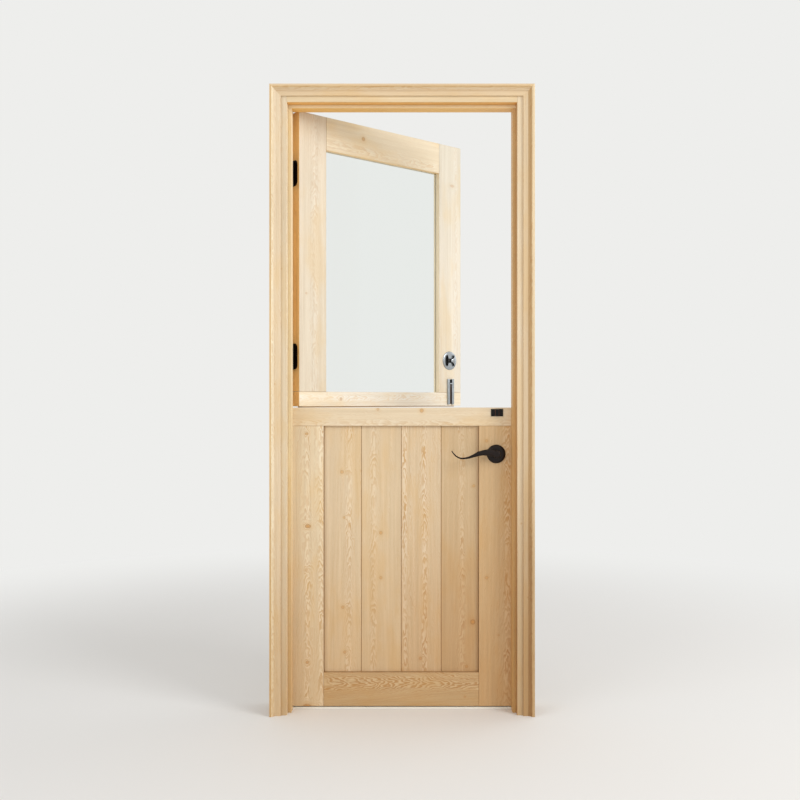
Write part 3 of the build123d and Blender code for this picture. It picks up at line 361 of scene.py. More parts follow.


# Each piece's tone is the pine's own tone with painted light in it: the lower lock stile, the
# lower bottom rail, the fourth board and the strike side stop are darker as painted shade, and the
# upper leaf's pieces are paler as painted light from outside.
TIMBER = {
    "hinge_jamb": plank(
        UPRIGHT, (220, 202, 171), flames=[-560], depth=22, run=0.04, contrast=0.8,
        knots=[(-404, 1490, 3, 0.5)], bands=[LEFT_REVEAL_HIGHLIGHT],
    ),
    "strike_jamb": plank(
        UPRIGHT, (226, 207, 176), flames=[560], depth=24, run=0.05, contrast=0.8,
        knots=[(398, 640, 3, 0.5)], bands=[RIGHT_REVEAL_SHADE],
    ),
    "head_jamb": plank(
        LEVEL, (224, 202, 164), flames=[2200], depth=24, run=0.04, contrast=0.8,
        bands=[HEAD_REVEAL_SHADE],
    ),
    "hinge_side_stop": plank(
        UPRIGHT, (226, 202, 158), flames=[-400], depth=50, run=0.03, contrast=0.4,
        bands=[STOP_INNER_HIGHLIGHT],
    ),
    "strike_side_stop": plank(
        UPRIGHT, (204, 164, 108), flames=[395], depth=50, run=0.03, contrast=0.4,
    ),
    "head_stop": plank(
        LEVEL, (232, 206, 160), flames=[2060], depth=50, run=0.03, contrast=0.4,
        bands=[STOP_UNDER_SHADE],
    ),
    "room_casing_left": plank(
        UPRIGHT, PALE, flames=[-600], depth=18, run=0.04, contrast=1.0,
        knots=[(-424, 1105, 3, 0.4)], bands=[LEFT_RIM, LEFT_GLINT],
    ),
    "room_casing_right": plank(
        UPRIGHT, (218, 196, 162), flames=[600], depth=18, run=0.05, contrast=1.0,
        knots=[(419, 395, 3, 0.4)], bands=[RIGHT_HOLLOW_SHADE, RIGHT_RIM],
    ),
    "room_casing_head": plank(
        LEVEL, (219, 195, 158), flames=[2300], depth=24, run=0.03, contrast=1.0,
        bands=[HEAD_RIM],
    ),
    "outside_moulding_left": plank(
        UPRIGHT, HONEY, flames=[-418], depth=60, run=0.06, contrast=0.6,
        knots=[(-420, 860, 4, 0.6)],
    ),
    "outside_moulding_right": plank(
        UPRIGHT, HONEY, flames=[416], depth=60, run=0.06, contrast=0.6,
        knots=[(424, 1480, 4, 0.6)],
    ),
    "outside_moulding_head": plank(LEVEL, HONEY, flames=[2078], depth=62, run=0.05, contrast=0.6),
    "upper_hinge_stile": plank(
        UPRIGHT, CREAM, flames=[-316], depth=30, run=0.05, contrast=0.36,
        knots=[(-352, 1420, 4, 0.4)], spread=20, swung=True, bands=[HINGE_EDGE_BOUNCE],
    ),
    "upper_lock_stile": plank(
        UPRIGHT, (234, 224, 205), flames=[352], depth=-34, run=0.05, contrast=0.3,
        knots=[(334.6, 1888, 11, 0.45, 1.9)], spread=20, swung=True, bands=[GLASS_SIDE_LIGHT],
    ),
    "upper_top_rail": plank(
        LEVEL, (236, 220, 190), flames=[1950], depth=30, run=0.06, contrast=0.44,
        knots=[(1994.5, -102.7, 8, 0.8)], spread=20, swung=True, bands=[GLASS_HEAD_LIGHT],
    ),
    "upper_bottom_rail": plank(
        LEVEL, (247, 238, 220), flames=[1060], depth=26, run=0.05, contrast=0.36,
        knots=[(1055.6, -203.5, 6, 0.6)], spread=15, swung=True, bands=[HINGE_EDGE_BOUNCE],
    ),
    "lower_hinge_stile": plank(
        UPRIGHT, (226, 206, 172), flames=[-322, -275], depth=20, run=0.05, contrast=0.75,
        knots=[
            (-324.7, 936.8, 6, 0.7, 1.3),
            (-321, 621.5, 10, 1.0, 1.4),
            (-326, 471.9, 5, 0.5),
            (-322.6, 157.3, 6, 0.8),
            (-324, 8, 15, 1.0, 2.0),
        ],
        spread=14,
    ),
    "lower_lock_stile": plank(
        UPRIGHT, (210, 178, 133), flames=[359], depth=24, run=0.07, contrast=0.9,
        knots=[(288.6, 912.5, 6, 0.6), (288.6, 446, 6, 0.6), (330, 250, 4, 0.5)], spread=18,
    ),
    "lower_top_rail": plank(
        LEVEL, PALE, flames=[972], depth=26, run=0.05, contrast=0.5,
        knots=[(1015.5, 67.2, 7, 0.8), (1020, -82.2, 5, 0.5)],
    ),
    "lower_bottom_rail": plank(
        LEVEL, (205, 179, 138), flames=[88], depth=24, run=0.09, contrast=1.7,
        knots=[(40, 215, 4, 0.5)], spread=36,
    ),
    "board_1": plank(
        UPRIGHT, (220, 197, 162), flames=[-182], depth=18, run=0.05, contrast=0.8,
        knots=[
            (-205, 806, 6, 0.6),
            (-197.8, 650.3, 5, 0.5),
            (-202.6, 343, 6, 0.6),
            (-195.7, 189.3, 6, 0.6),
        ],
        spread=18,
    ),
    "board_2": plank(
        UPRIGHT, (218, 194, 158), flames=[-98], depth=20, run=0.05, contrast=0.6,
        knots=[(-72.2, 597.5, 6, 0.7), (-72.2, 443.9, 6, 0.6)],
    ),
    "board_3": plank(
        UPRIGHT, (218, 194, 159), flames=[9, 78], depth=16, run=0.05, contrast=1.0,
        knots=[(64, 168, 6, 0.6)], spread=13,
    ),
    "board_4": plank(
        UPRIGHT, (206, 178, 138), flames=[203], depth=18, run=0.05, contrast=0.75,
        knots=[(245.8, 758.4, 5, 0.6), (242.3, 292.6, 9, 1.0), (221.1, 140.3, 6, 0.6)],
    ),
}

# Painted shade: how members darken with height where less light reaches them. The share
# holds up to the first height, in metres, and is gone at the second one. Where the first is
# the higher, the share holds above it.
PAINTED_SHADE_BY_HEIGHT = {
    "upper_lock_stile": (2.05, 1.35, (0.90, 0.90, 0.88)),
    "hinge_jamb": (0.05, 0.90, (0.81, 0.70, 0.57)),
    "hinge_side_stop": (0.05, 0.90, (0.80, 0.66, 0.50)),
    "room_casing_left": (0.05, 0.90, (0.85, 0.76, 0.64)),
    "strike_jamb": (0.15, 1.15, (0.70, 0.59, 0.45)),
    "strike_side_stop": (0.15, 1.15, (0.88, 0.81, 0.66)),
    "room_casing_right": (0.15, 1.15, (0.66, 0.54, 0.40)),
    "lower": (0.05, 0.80, (0.88, 0.79, 0.68)),
    "board": (0.05, 0.80, (0.88, 0.79, 0.68)),
    "board_3": (0.30, 0.70, (0.94, 0.90, 0.85)),
    "board_4": (0.30, 0.80, (0.93, 0.88, 0.82)),
}

# Lines where members of a leaf meet: across, start, end and how dark, upright lines first
UPRIGHT_JOINTS = (
    (-139, 123, 963.5, 0.90),
    (-2.5, 123, 963.5, 0.90),
    (134, 123, 963.5, 0.90),
    (-267, 8, 963.5, 0.50),
    (262, 8, 963.5, 0.45),
    (-267, 1927, 2042, 0.50),
    (267, 1927, 2042, 0.50),
)
LEVEL_JOINTS = (
    (963.5, -381, 381, 0.40),
    (123, -267, 262, 0.45),
    (1081, -381, -267, 0.45),
    (1081, 267, 381, 0.40),
)

# Lines of the stops, where they meet the jambs, and of the casing's head, in the same order
STOP_CORNERS = ([(-384, 0, 2045, 0.85), (384, 0, 2045, 0.85)], [(2045, -384, 384, 0.85)])
HEAD_LINES = ([], [(2080.6, -420, 420, 0.50)])


def joints_of(node, swung):
    """Joint lines that run along or into one member, as upright and level ones."""
    back = SWING.inverted() if swung else Matrix()
    corners = [back @ vertex.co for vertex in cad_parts[node].data.vertices]
    low_x, high_x = min(c.x for c in corners), max(c.x for c in corners)
    low_z, high_z = min(c.z for c in corners), max(c.z for c in corners)
    near = 1.5 * MM

    def within(value, low, high):
        return low - near < value * MM < high + near

    def overlaps(start, end, low, high):
        return start * MM < high - near and end * MM > low + near

    upright = [
        (line, start, end, darkness)
        for line, start, end, darkness in UPRIGHT_JOINTS
        if within(line, low_x, high_x) and overlaps(start, end, low_z, high_z)
    ]
    level = [
        (line, start, end, darkness)
        for line, start, end, darkness in LEVEL_JOINTS
        if within(line, low_z, high_z) and overlaps(start, end, low_x, high_x)
    ]
    return upright, level


def joint_shadow(made, x, z, node, swung):
    """One along the lines of a leaf's member, stop or casing, fading to nought beside them."""
    shadow = None
    if node.endswith("_stop"):
        upright, level = STOP_CORNERS
    elif node == "room_casing_head":
        upright, level = HEAD_LINES
    elif node.startswith(("upper", "lower", "board")):
        upright, level = joints_of(node, swung)
    else:
        return shadow
    lines = [(x, z, joint) for joint in upright] + [(z, x, joint) for joint in level]
    for across, along, (line, start, end, darkness) in lines:
        gap = abs(across - line * MM)
        mark = 1.0 - made.step(gap, 0.4 * MM, 1.7 * MM)
        middle, half = (start + end) / 2 * MM, (end - start) / 2 * MM
        mark = mark * (1.0 - made.step(abs(along - middle), half, half + 1.0 * MM)) * darkness
        shadow = mark if shadow is None else shadow.most(mark)
    return shadow


def add_knots(made, cut, across, along, ripple, radius):
    """Rings pushed aside by the knots, and the knots' cover, rim and glow, if it has any."""
    marks = None
    for knot in cut.knots:
        size = knot.radius * MM
        off = across - knot.across * MM
        rise = (along - knot.along * MM) * knot.flat
        reach = (off * off + rise * rise) ** 0.5 + ripple * (size * 0.5)
        swell = (-(reach * reach) * (1.0 / (2.4 * size) ** 2)).exp()
        radius = radius - swell * size
        cover = (1.0 - made.step(reach, size * 0.25, size * 1.2)) * knot.darkness
        rim = (1.0 - made.step(abs(reach - size * 0.8), 0.0, size * 0.4)) * knot.darkness
        glow = (1.0 - made.step(reach, size * 0.8, size * 3.0)) * knot.darkness
        found = (cover, rim, glow)
        marks = tuple(old.most(new) for old, new in zip(marks, found)) if marks else found
    return radius, marks


def add_band(made, body, band, spot, ringed, shade):
    """A face or strip of another tone laid over the body, with the same rings and shade; most
    bands are painted highlight and painted shade.
    """
    tone = linear(*band.tone)
    other = made.mix(ringed, rgba(tone), rgba(tone, (0.80, 0.62, 0.42)))
    other = made.mix(1.0, other, shade, "MULTIPLY")
    inside = made.step(spot, (band.low - 0.3) * MM, (band.low + 0.3) * MM)
    inside = inside * (1.0 - made.step(spot, (band.high - 0.3) * MM, (band.high + 0.3) * MM))
    return made.mix(inside, body, other)


def pine(name, node, cut, spacing, shades, seed):
    """Solid pine: rings round a pith behind the face, flames, fibres, knots and joint lines."""
    made = Finish(name)
    place = made.place(cut.swung)
    x, y, z = made.split(place)
    across, along = (x, z) if cut.upright else (z, x)

    def stretched(wide, lengthways):
        scales = (wide, wide, lengthways) if cut.upright else (lengthways, wide, wide)
        return made.stretched(place, scales, seed)

    # How the rings wander, and the fine and the broad marks in their colour
    sway = made.noise(stretched(7.0, 1.4), detail=1.0) - 0.5
    drift = made.noise(stretched(26.0, 6.0), detail=3.0) - 0.5
    ripple = made.noise(stretched(85.0, 26.0), detail=2.0) - 0.5
    streak = made.noise(stretched(105.0, 2.2), detail=3.0, roughness=0.65)
    fibre = made.noise(stretched(420.0, 22.0), detail=2.0)
    speckle = made.noise(stretched(210.0, 90.0), detail=2.0)
    blotch = made.noise(stretched(10.0, 3.6), detail=3.0, roughness=0.6)

    side = None
    for line in cut.flames:
        gap = abs(across - line * MM + drift * 0.012)
        side = gap if side is None else side.least(gap)
    deep = y - cut.depth * MM
    radius = (side * side + deep * deep) ** 0.5 + along * cut.run
    radius = radius + sway * 0.050 + drift * 0.014 + ripple * 0.007
    radius, knots = add_knots(made, cut, across, along, ripple, radius)

    # Late wood is the dark edge of each ring, which ends sharply
    phase = radius / spacing
    part = phase.fraction()
    ring = phase - part
    chance = made.node("ShaderNodeTexWhiteNoise", {"W": ring + seed}, noise_dimensions="1D")
    late = made.step(part, 0.15, 0.75) * (1.0 - made.step(part, 0.86, 0.97))
    late = late * (0.40 + 0.60 * chance)
    flame = 1.0 - made.step(side, 0.3 * cut.spread * MM, cut.spread * MM)
    patch = made.step(made.noise(stretched(3.0, 11.0), detail=1.0), 0.34, 0.60)
    strength = (0.62 + 0.66 * flame * (0.30 + 0.70 * patch)) * cut.contrast
    ringed = (late * strength).least(1.0)

    # Early wood is paler in the flames, and darker streaks are also warmer
    tone = linear(*cut.tone)
    light = rgba(tone, (1.14, 1.20, 1.32))
    dark = rgba(tone, (0.78, 0.54, 0.26))
    body = made.mix(((1.0 - late) * strength * flame).least(1.0), rgba(tone), light)
    body = made.mix(ringed, body, dark)
    level = 0.580 + 0.46 * streak + 0.06 * fibre + 0.09 * speckle + 0.24 * blotch
    parts = [level, level * 1.25 - 0.25, level * 1.7 - 0.7]
    shade = made.node("ShaderNodeCombineXYZ", parts)
    body = made.mix(1.0, body, shade, "MULTIPLY")
    warmth = made.step(blotch, 0.44, 0.66)
    body = made.mix(warmth * 0.50, body, rgba(tone, (0.95, 0.83, 0.62)))
    body = made.mix((1.0 - warmth) * 0.30, body, rgba(tone, (1.02, 1.06, 1.14)))
    if knots:
        cover, rim, glow = knots
        body = made.mix(glow * 0.34, body, rgba(tone, (0.90, 0.71, 0.42)))
        body = made.mix(cover * 0.80, body, shades["knot"])
        body = made.mix(rim * 0.42, body, shades["knot_edge"])
    # Bands of another tone, most of them painted highlight and painted shade
    for band in cut.bands:
        body = add_band(made, body, band, {"x": x, "z": z}[band.axis], ringed, shade)
    # Painted shade, darker with height where less light reaches the piece
    for start, (low, high, share) in PAINTED_SHADE_BY_HEIGHT.items():
        if node.startswith(start):
            body = made.mix(1.0 - made.step(z, low, high), body, rgba(share), "MULTIPLY")
    shadow = joint_shadow(made, x, z, node, cut.swung)
    if shadow is not None:
        wear_and_glint = 0.55 + 0.9 * drift + 0.6 * speckle
        body = made.mix((shadow * wear_and_glint).least(1.0), body, shades["joint"])

    gloss = 0.50 + 0.10 * streak - 0.06 * late
    height = fibre * 0.6 - late * strength
    return made.finish(
        Base_Color=body,
        Roughness=gloss,
        Normal=made.bump(height, 0.22, 0.0004),
        Coat_Weight=0.10,
        Coat_Roughness=0.30,
    )


# Metal, glass and the rest


def metal(
    name,
    shade,
    roughness,
    metallic,
    stretch=(900.0, 900.0, 900.0),
    swung=False,
    wear_and_glint=None,
    cast=None,
):
    """Metal with a fine brushed or powdery surface and small changes of gloss.

    Its cloudy patches run to the cast, a colour, or else to a lighter shade. A colour given for
    the keeper is a copper-brown painted highlight on the edges of its loop's front face.
    """
    made = Finish(name)
    place = made.place(swung)
    grain = made.noise(made.stretched(place, stretch, 3.1), detail=2.0)
    cloud = made.noise(made.stretched(place, (60.0, 60.0, 60.0), 7.7), detail=3.0)
    body = made.mix(cloud, rgba(shade, 0.86), cast or rgba(shade, 1.14))
    if wear_and_glint:
        x, y, _ = made.split(place)
        ridge = abs(abs(x - GUIDE_X) - KEEPER_LOOP)
        front = 1.0 - made.step(y, -0.0236, -0.0228)
        # Painted highlight where the loop's edges catch the light, on its front face
        glinting = (1.0 - made.step(ridge, 0.3 * MM, 1.1 * MM)) * front
        body = made.mix(glinting * (0.5 + 0.5 * cloud), body, wear_and_glint)
    gloss = roughness - 0.05 + 0.06 * grain + 0.05 * cloud
    return made.finish(
        Base_Color=body,
        Metallic=metallic,
        Roughness=gloss,
        Specular_IOR_Level=0.5 if metallic > 0.5 else 0.3,
        Normal=made.bump(grain, 0.12, 0.0001),
    )


def turn_metal(name, dark, bright):
    """Polished turn: one wing and all edges dark as painted shade, the face of the other wing
    bright as a painted highlight.
    """
    made = Finish(name)
    place = made.place(True)
    x, y, z = made.split(place)
    side = x - LOCK_X
    hollow_radius = 17.1 * MM
    rise = abs(z - DEADBOLT_Z) - 22.1 * MM
    reach = (side * side + rise * rise) ** 0.5
    inside = made.step(reach, hollow_radius + 0.6 * MM, hollow_radius + 2.0 * MM)
    right = made.step(side, 2.5 * MM, 4.5 * MM)
    front = 1.0 - made.step(y, -0.0272, -0.0262)
    cloud = made.noise(made.stretched(place, (90.0, 90.0, 90.0), 1.9), detail=2.0)
    lit = inside * right * front
    body = made.mix(lit, dark, bright)
    return made.finish(
        Base_Color=body,
        Metallic=0.9,
        Roughness=0.24 + 0.08 * cloud,
        Normal=made.bump(cloud, 0.05, 0.0002),
    )


def bar_metal(name, dark, bright, black):
    """Sliding bar: black thumb piece over a bright band of painted highlight, and a dark bar
    below, its brown partly a painted reflection of the wood.
    """
    made = Finish(name)
    place = made.place(True)
    _, y, z = made.split(place)
    foot = 1.118
    # Painted highlight: a bright band just under the thumb piece
    highlight_band = made.step(z, foot - 0.0043, foot - 0.0039)
    highlight_band = highlight_band * (1.0 - made.step(z, foot - 0.0001, foot + 0.0003))
    highlight_band = highlight_band * (1.0 - made.step(y, -0.0262, -0.0258))
    thumb = made.step(z, foot, foot + 0.0004)
    cloud = made.noise(made.stretched(place, (300.0, 300.0, 30.0), 4.4), detail=2.0)
    body = made.mix(cloud, rgba(dark, 0.8), rgba(dark, 1.3))
    body = made.mix(thumb, body, black)
    body = made.mix(highlight_band, body, bright)
    return made.finish(
        Base_Color=body,
        Metallic=0.85,
        Roughness=0.30 + 0.10 * cloud,
        Normal=made.bump(cloud, 0.08, 0.0001),
    )


def clear_glass(name, tint):
    """Clear float glass: mostly seen through, with a soft unevenness."""
    made = Finish(name)
    wave = made.noise(made.stretched(made.place(True), (2.0, 2.0, 5.0), 0.5), detail=1.0)
    return made.finish(
        Base_Color=rgba(tint),
        Roughness=0.01 + 0.02 * wave,
        IOR=1.01,
        Transmission_Weight=1.0,
        Coat_Weight=0.35 + 0.1 * wave,
        Coat_Roughness=0.08,
        Alpha=0.4,
    )


def painted(name, shade, roughness, swung=False):
    """Plain paint or rubber with a fine stipple and faint soiling."""
    made = Finish(name)
    place = made.place(swung)
    stipple = made.noise(made.stretched(place, (500.0, 500.0, 500.0), 2.2), detail=2.0)
    soil = made.noise(made.stretched(place, (14.0, 30.0, 30.0), 5.2), detail=4.0, roughness=0.6)
    body = made.mix(made.step(soil, 0.4, 0.8) * 0.4, rgba(shade), rgba(shade, 0.86))
    return made.finish(
        Base_Color=body,
        Roughness=roughness + 0.08 * soil,
        Normal=made.bump(stipple, 0.10, 0.0002),
    )


# Meshes

# Corners closer than this are one, flatter edges go, and sharper ones are rounded
SAME_POINT = 2e-6
FLAT_ANGLE = math.radians(0.8)
SHARP_ANGLE = 0.7


def soften(mesh, angle=40.0):
    """Shade a mesh smooth, with hard edges where faces meet at more than the angle."""
    made = bmesh.new()
    made.from_mesh(mesh)
    limit = math.radians(angle)
    for face in made.faces:
        face.smooth = True
    for edge in made.edges:
        flat = len(edge.link_faces) == 2 and edge.calc_face_angle(0.0) < limit
        edge.smooth = flat
    made.to_mesh(mesh)
    made.free()


def piece(name, mesh, body, finishes, stands_for=()):
    """Put a mesh in the scene as a piece that rides on a body."""
    item = bpy.data.objects.new(name, mesh)
    bpy.context.scene.collection.objects.link(item)
    mesh.materials.clear()
    for finish in finishes:
        mesh.materials.append(finish)
    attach(item, body)
    if stands_for:
        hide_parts(*stands_for)
    return item


def from_bmesh(name, made, angle=40.0):
    """Mesh from a bmesh, its faces turned outwards."""
    bmesh.ops.recalc_face_normals(made, faces=made.faces)
    mesh = bpy.data.meshes.new(name)
    made.to_mesh(mesh)
    made.free()
    soften(mesh, angle)
    return mesh


def eased_copy(node, edge):
    """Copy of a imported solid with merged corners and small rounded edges."""
    made = bmesh.new()
    made.from_mesh(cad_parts[node].data)
    bmesh.ops.remove_doubles(made, verts=made.verts, dist=SAME_POINT)
    bmesh.ops.dissolve_limit(
        made, angle_limit=FLAT_ANGLE, verts=made.verts, edges=made.edges, delimit={"NORMAL"}
    )
    sharp = [
        line
        for line in made.edges
        if len(line.link_faces) == 2 and line.calc_face_angle(0.0) > SHARP_ANGLE
    ]
    bmesh.ops.bevel(
        made, geom=sharp, offset=edge, segments=2, profile=0.5, affect="EDGES", clamp_overlap=True
    )
    bmesh.ops.triangulate(made, faces=[face for face in made.faces if len(face.verts) > 4])
    return from_bmesh(node + "_dressed", made, 32.0)


def eased_piece(node, edge, body, finish):
    """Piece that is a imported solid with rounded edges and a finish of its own."""
    return piece(node + "_dressed", eased_copy(node, edge), body, [finish], [node])


def lathed(name, outline, x, z, segments=96):
    """Solid turned about a line along Y, from an outline in (radius, y)."""
    made = bmesh.new()
    rings = []
    turn = 2 * math.pi / segments
    for radius, y in outline:
        if radius == 0.0:
            rings.append([made.verts.new((x, y, z))])
            continue
        ring = []
        for i in range(segments):
            across, up = radius * math.cos(i * turn), radius * math.sin(i * turn)
            ring.append(made.verts.new((x + across, y, z + up)))
        rings.append(ring)
    for first, second in zip(rings, rings[1:] + rings[:1]):
        join_rings(made, first, second)
    return from_bmesh(name, made, 35.0)


def join_rings(made, first, second):
    """Faces between two rings of vertices, either of which may be one point."""
    if len(first) == 1 and len(second) == 1:
        return
    count = max(len(first), len(second))
    for i in range(count):
        j = (i + 1) % count
        corners = [first[i % len(first)], first[j % len(first)]]
        corners += [second[j % len(second)], second[i % len(second)]]
        unique = list(dict.fromkeys(corners))
        made.faces.new(unique)


def rounded(points, radii, steps=6):
    """Outline with its corners rounded, by a radius for each corner."""
    result = []
    count = len(points)
    for index, (corner, radius) in enumerate(zip(points, radii)):
        corner = Vector(corner)
        if not radius:
            result.append(corner)
            continue
        before = (Vector(points[index - 1]) - corner).normalized() * radius
        after = (Vector(points[(index + 1) % count]) - corner).normalized() * radius
        for step in range(steps + 1):
            t = step / steps
            result.append(corner + before * (1 - t) ** 2 + after * t**2)
    return result


def mitred_bar(made, outline, at, material=0):
    """Bar between two mitred ends. at(across, proud, end) places a point of the outline."""
    ends = [[made.verts.new(at(point[0], point[1], end)) for point in outline] for end in (0, 1)]
    faces = []
    count = len(outline)
    for i in range(count):
        j = (i + 1) % count
        faces.append(made.faces.new((ends[0][i], ends[0][j], ends[1][j], ends[1][i])))
    faces.append(made.faces.new(ends[0][::-1]))
    faces.append(made.faces.new(ends[1]))
    for face in faces:
        face.material_index = material


def casing_outline(sizes):
    """Section of the casing: a flat, a hollow that rises from it and an outer rim."""
    flat = sizes.casing_flat_width
    height = sizes.casing_flat_height
    width = sizes.casing_width
    thickness = sizes.casing_thickness
    rim = width - sizes.casing_rim_width
    rise = thickness - height
    radii = [0, sizes.casing_round, 0]
    steps = 12
    hollow = []
    for step in range(steps + 1):
        t = step / steps
        hollow.append(Vector((flat + (rim - flat) * t, height + rise * t**1.6)))
    start = rounded([(0.0, 0.0), (0.0, height), (flat, height)], radii)
    end = rounded([(rim, thickness), (width, thickness), (width, 0)], radii)
    return start[:-1] + hollow + end[1:]


def moulding_outline(sizes):
    """Section of the outside moulding: a low step beside the opening, then a thicker body."""
    step, low = sizes.moulding_step_width, sizes.moulding_step_height
    wide, high = sizes.moulding_width, sizes.moulding_thickness
    foot, shoulder = (step - 3 * MM, low), (step + 1.5 * MM, high)
    corners = [(0, 0), (0, low), foot, shoulder, (wide, high), (wide, 0)]
    return rounded(corners, [0, 3 * MM, 2 * MM, 3 * MM, 3 * MM, 0])


# Repeated screws


def screw_tree():
    """Geometry nodes that set a countersunk screw with a cross recess on every point."""
    group = bpy.data.node_groups.new("countersunk_screws", "GeometryNodeTree")
    group.interface.new_socket("Geometry", in_out="INPUT", socket_type="NodeSocketGeometry")
    names = ("Head radius", "Head depth", "Shank radius", "Length", "Recess width")
    for name in names:
        group.interface.new_socket(name, in_out="INPUT", socket_type="NodeSocketFloat")
    group.interface.new_socket("Seed", in_out="INPUT", socket_type="NodeSocketInt")
    group.interface.new_socket("Finish", in_out="INPUT", socket_type="NodeSocketMaterial")
    group.interface.new_socket("Geometry", in_out="OUTPUT", socket_type="NodeSocketGeometry")
    tree = Tree(group)
    given = tree.node("NodeGroupInput").socket.node.outputs
    get = {socket.name: Value(tree, socket) for socket in given if socket.name}
    head = tree.node(
        "GeometryNodeMeshCone",
        {
            "Vertices": 32,
            "Radius Top": get["Head radius"],
            "Radius Bottom": get["Shank radius"],
            "Depth": get["Head depth"],
        },
    )
    head = moved(tree, head, -get["Head depth"])
    arm = get["Head radius"] * 1.2
    deep = get["Head depth"] * 1.1
    blades = []
    for long_side, short_side in ((arm, get["Recess width"]), (get["Recess width"], arm)):
        size = tree.node("ShaderNodeCombineXYZ", [long_side, short_side, deep])
        blades.append(tree.node("GeometryNodeMeshCube", {"Size": size}))
    cut = tree.node("GeometryNodeMeshBoolean", {"Mesh 1": head}, operation="DIFFERENCE")
    for blade in blades:
        tree.nodes.links.new(blade.socket, cut.socket.node.inputs["Mesh 2"])
    rest = get["Length"] - get["Head depth"]
    shank = tree.node(
        "GeometryNodeMeshCylinder", {"Vertices": 16, "Radius": get["Shank radius"], "Depth": rest}
    )
    shank = moved(tree, shank, -(get["Head depth"] + rest / 2))
    whole = tree.node("GeometryNodeJoinGeometry")
    for part in (cut, shank):
        tree.nodes.links.new(part.socket, whole.socket.node.inputs["Geometry"])
    facing = tree.node(
        "GeometryNodeInputNamedAttribute", {"Name": "facing"}, data_type="FLOAT_VECTOR"
    )
    aimed = tree.node("FunctionNodeAlignRotationToVector", {"Vector": facing}, axis="Z")
    spin = tree.node(
        "FunctionNodeRandomValue",
        {2: 0.0, 3: 1.5, "Seed": get["Seed"]},
        output=1,
        data_type="FLOAT",
    )
    turn = tree.node("FunctionNodeAxisAngleToRotation", {"Axis": (0, 0, 1), "Angle": spin})
    aimed = tree.node("FunctionNodeRotateRotation", {0: aimed, 1: turn}, rotation_space="LOCAL")
    placed = tree.node(
        "GeometryNodeInstanceOnPoints",
        {"Points": get["Geometry"], "Instance": whole, "Rotation": aimed},
    )
    real = tree.node("GeometryNodeRealizeInstances", [placed])
    done = tree.node("GeometryNodeSetMaterial", {"Geometry": real, "Material": get["Finish"]})
    tree.node("NodeGroupOutput", [done])
    return group


def moved(tree, shape, rise):
    """Geometry moved along Z."""
    shift = tree.node("ShaderNodeCombineXYZ", [0.0, 0.0, rise])
    return tree.node("GeometryNodeTransform", {"Geometry": shape, "Translation": shift})


def screws(name, group, places, long, finish, sizes, seed):
    """Mesh of screws at the given places, each a head's centre and the way that it faces."""
    points = bpy.data.meshes.new(name)
    points.from_pydata([tuple(spot) for spot, _ in places], [], [])
    facing = points.attributes.new("facing", "FLOAT_VECTOR", "POINT")
    for index, (_, way) in enumerate(places):
        facing.data[index].vector = way
    holder = bpy.data.objects.new(name + "_points", points)
    bpy.context.scene.collection.objects.link(holder)
    modifier = holder.modifiers.new("screws", "NODES")
    modifier.node_group = group
    wanted = {
        "Head radius": sizes.screw_head_radius,
        "Head depth": sizes.screw_head_depth,
        "Shank radius": sizes.screw_shank_radius,
        "Length": long,
        "Recess width": sizes.recess_width,
        "Seed": seed,
        "Finish": finish,
    }
    for socket in group.interface.items_tree:
        if socket.in_out == "INPUT" and socket.name in wanted:
            modifier[socket.identifier] = wanted[socket.name]
    bpy.context.view_layer.update()
    evaluated = holder.evaluated_get(bpy.context.evaluated_depsgraph_get())
    mesh = bpy.data.meshes.new_from_object(evaluated)
    mesh.name = name
    holder.modifiers.remove(modifier)
    bpy.data.objects.remove(holder)
    for attribute in [a for a in mesh.attributes if a.name == "facing"]:
        mesh.attributes.remove(attribute)
    soften(mesh, 35.0)
    return mesh


def hinge_spots(heights, on_leaf):
    """Screw heads in the plates of some hinges."""
    face, way = (-HALF_LEAF, (-1, 0, 0)) if on_leaf else (-HALF_OPENING, (1, 0, 0))
    spots = []
    pitch, outer_inset, middle_inset = 0.029, 0.011, 0.018
    for centre in heights:
        for step in (-1, 0, 1):
            inset = outer_inset if step else middle_inset
            spots.append((Vector((face, OUT_FACE - inset, centre + step * pitch)), way))
    return spots


def plate_spots(x, z, way):
    """Screw heads of a faceplate or strike, above and below its hole."""
    reach = 0.021
    return [(Vector((x, 0.0, z + side * reach)), way) for side in (-1, 1)]


def swing_spots(spots):
    """Screw heads of the closed upper leaf, turned to where it stands open."""
    turn = SWING.to_3x3()
    return [(SWING @ spot, turn @ Vector(way)) for spot, way in spots]


def rods(made, x, z, low, high, radius, spread):
    """The two screws that draw a pair of roses together."""
    for side in (-1, 1):
        spot = Matrix.Translation((x, (low + high) / 2, z + side * spread))
        spot = spot @ Matrix.Rotation(math.pi / 2, 4, "X")
        bmesh.ops.create_cone(
            made,
            cap_ends=True,
            segments=20,
            radius1=radius,
            radius2=radius,
            depth=high - low,
            matrix=spot,
        )


# Shared finishes


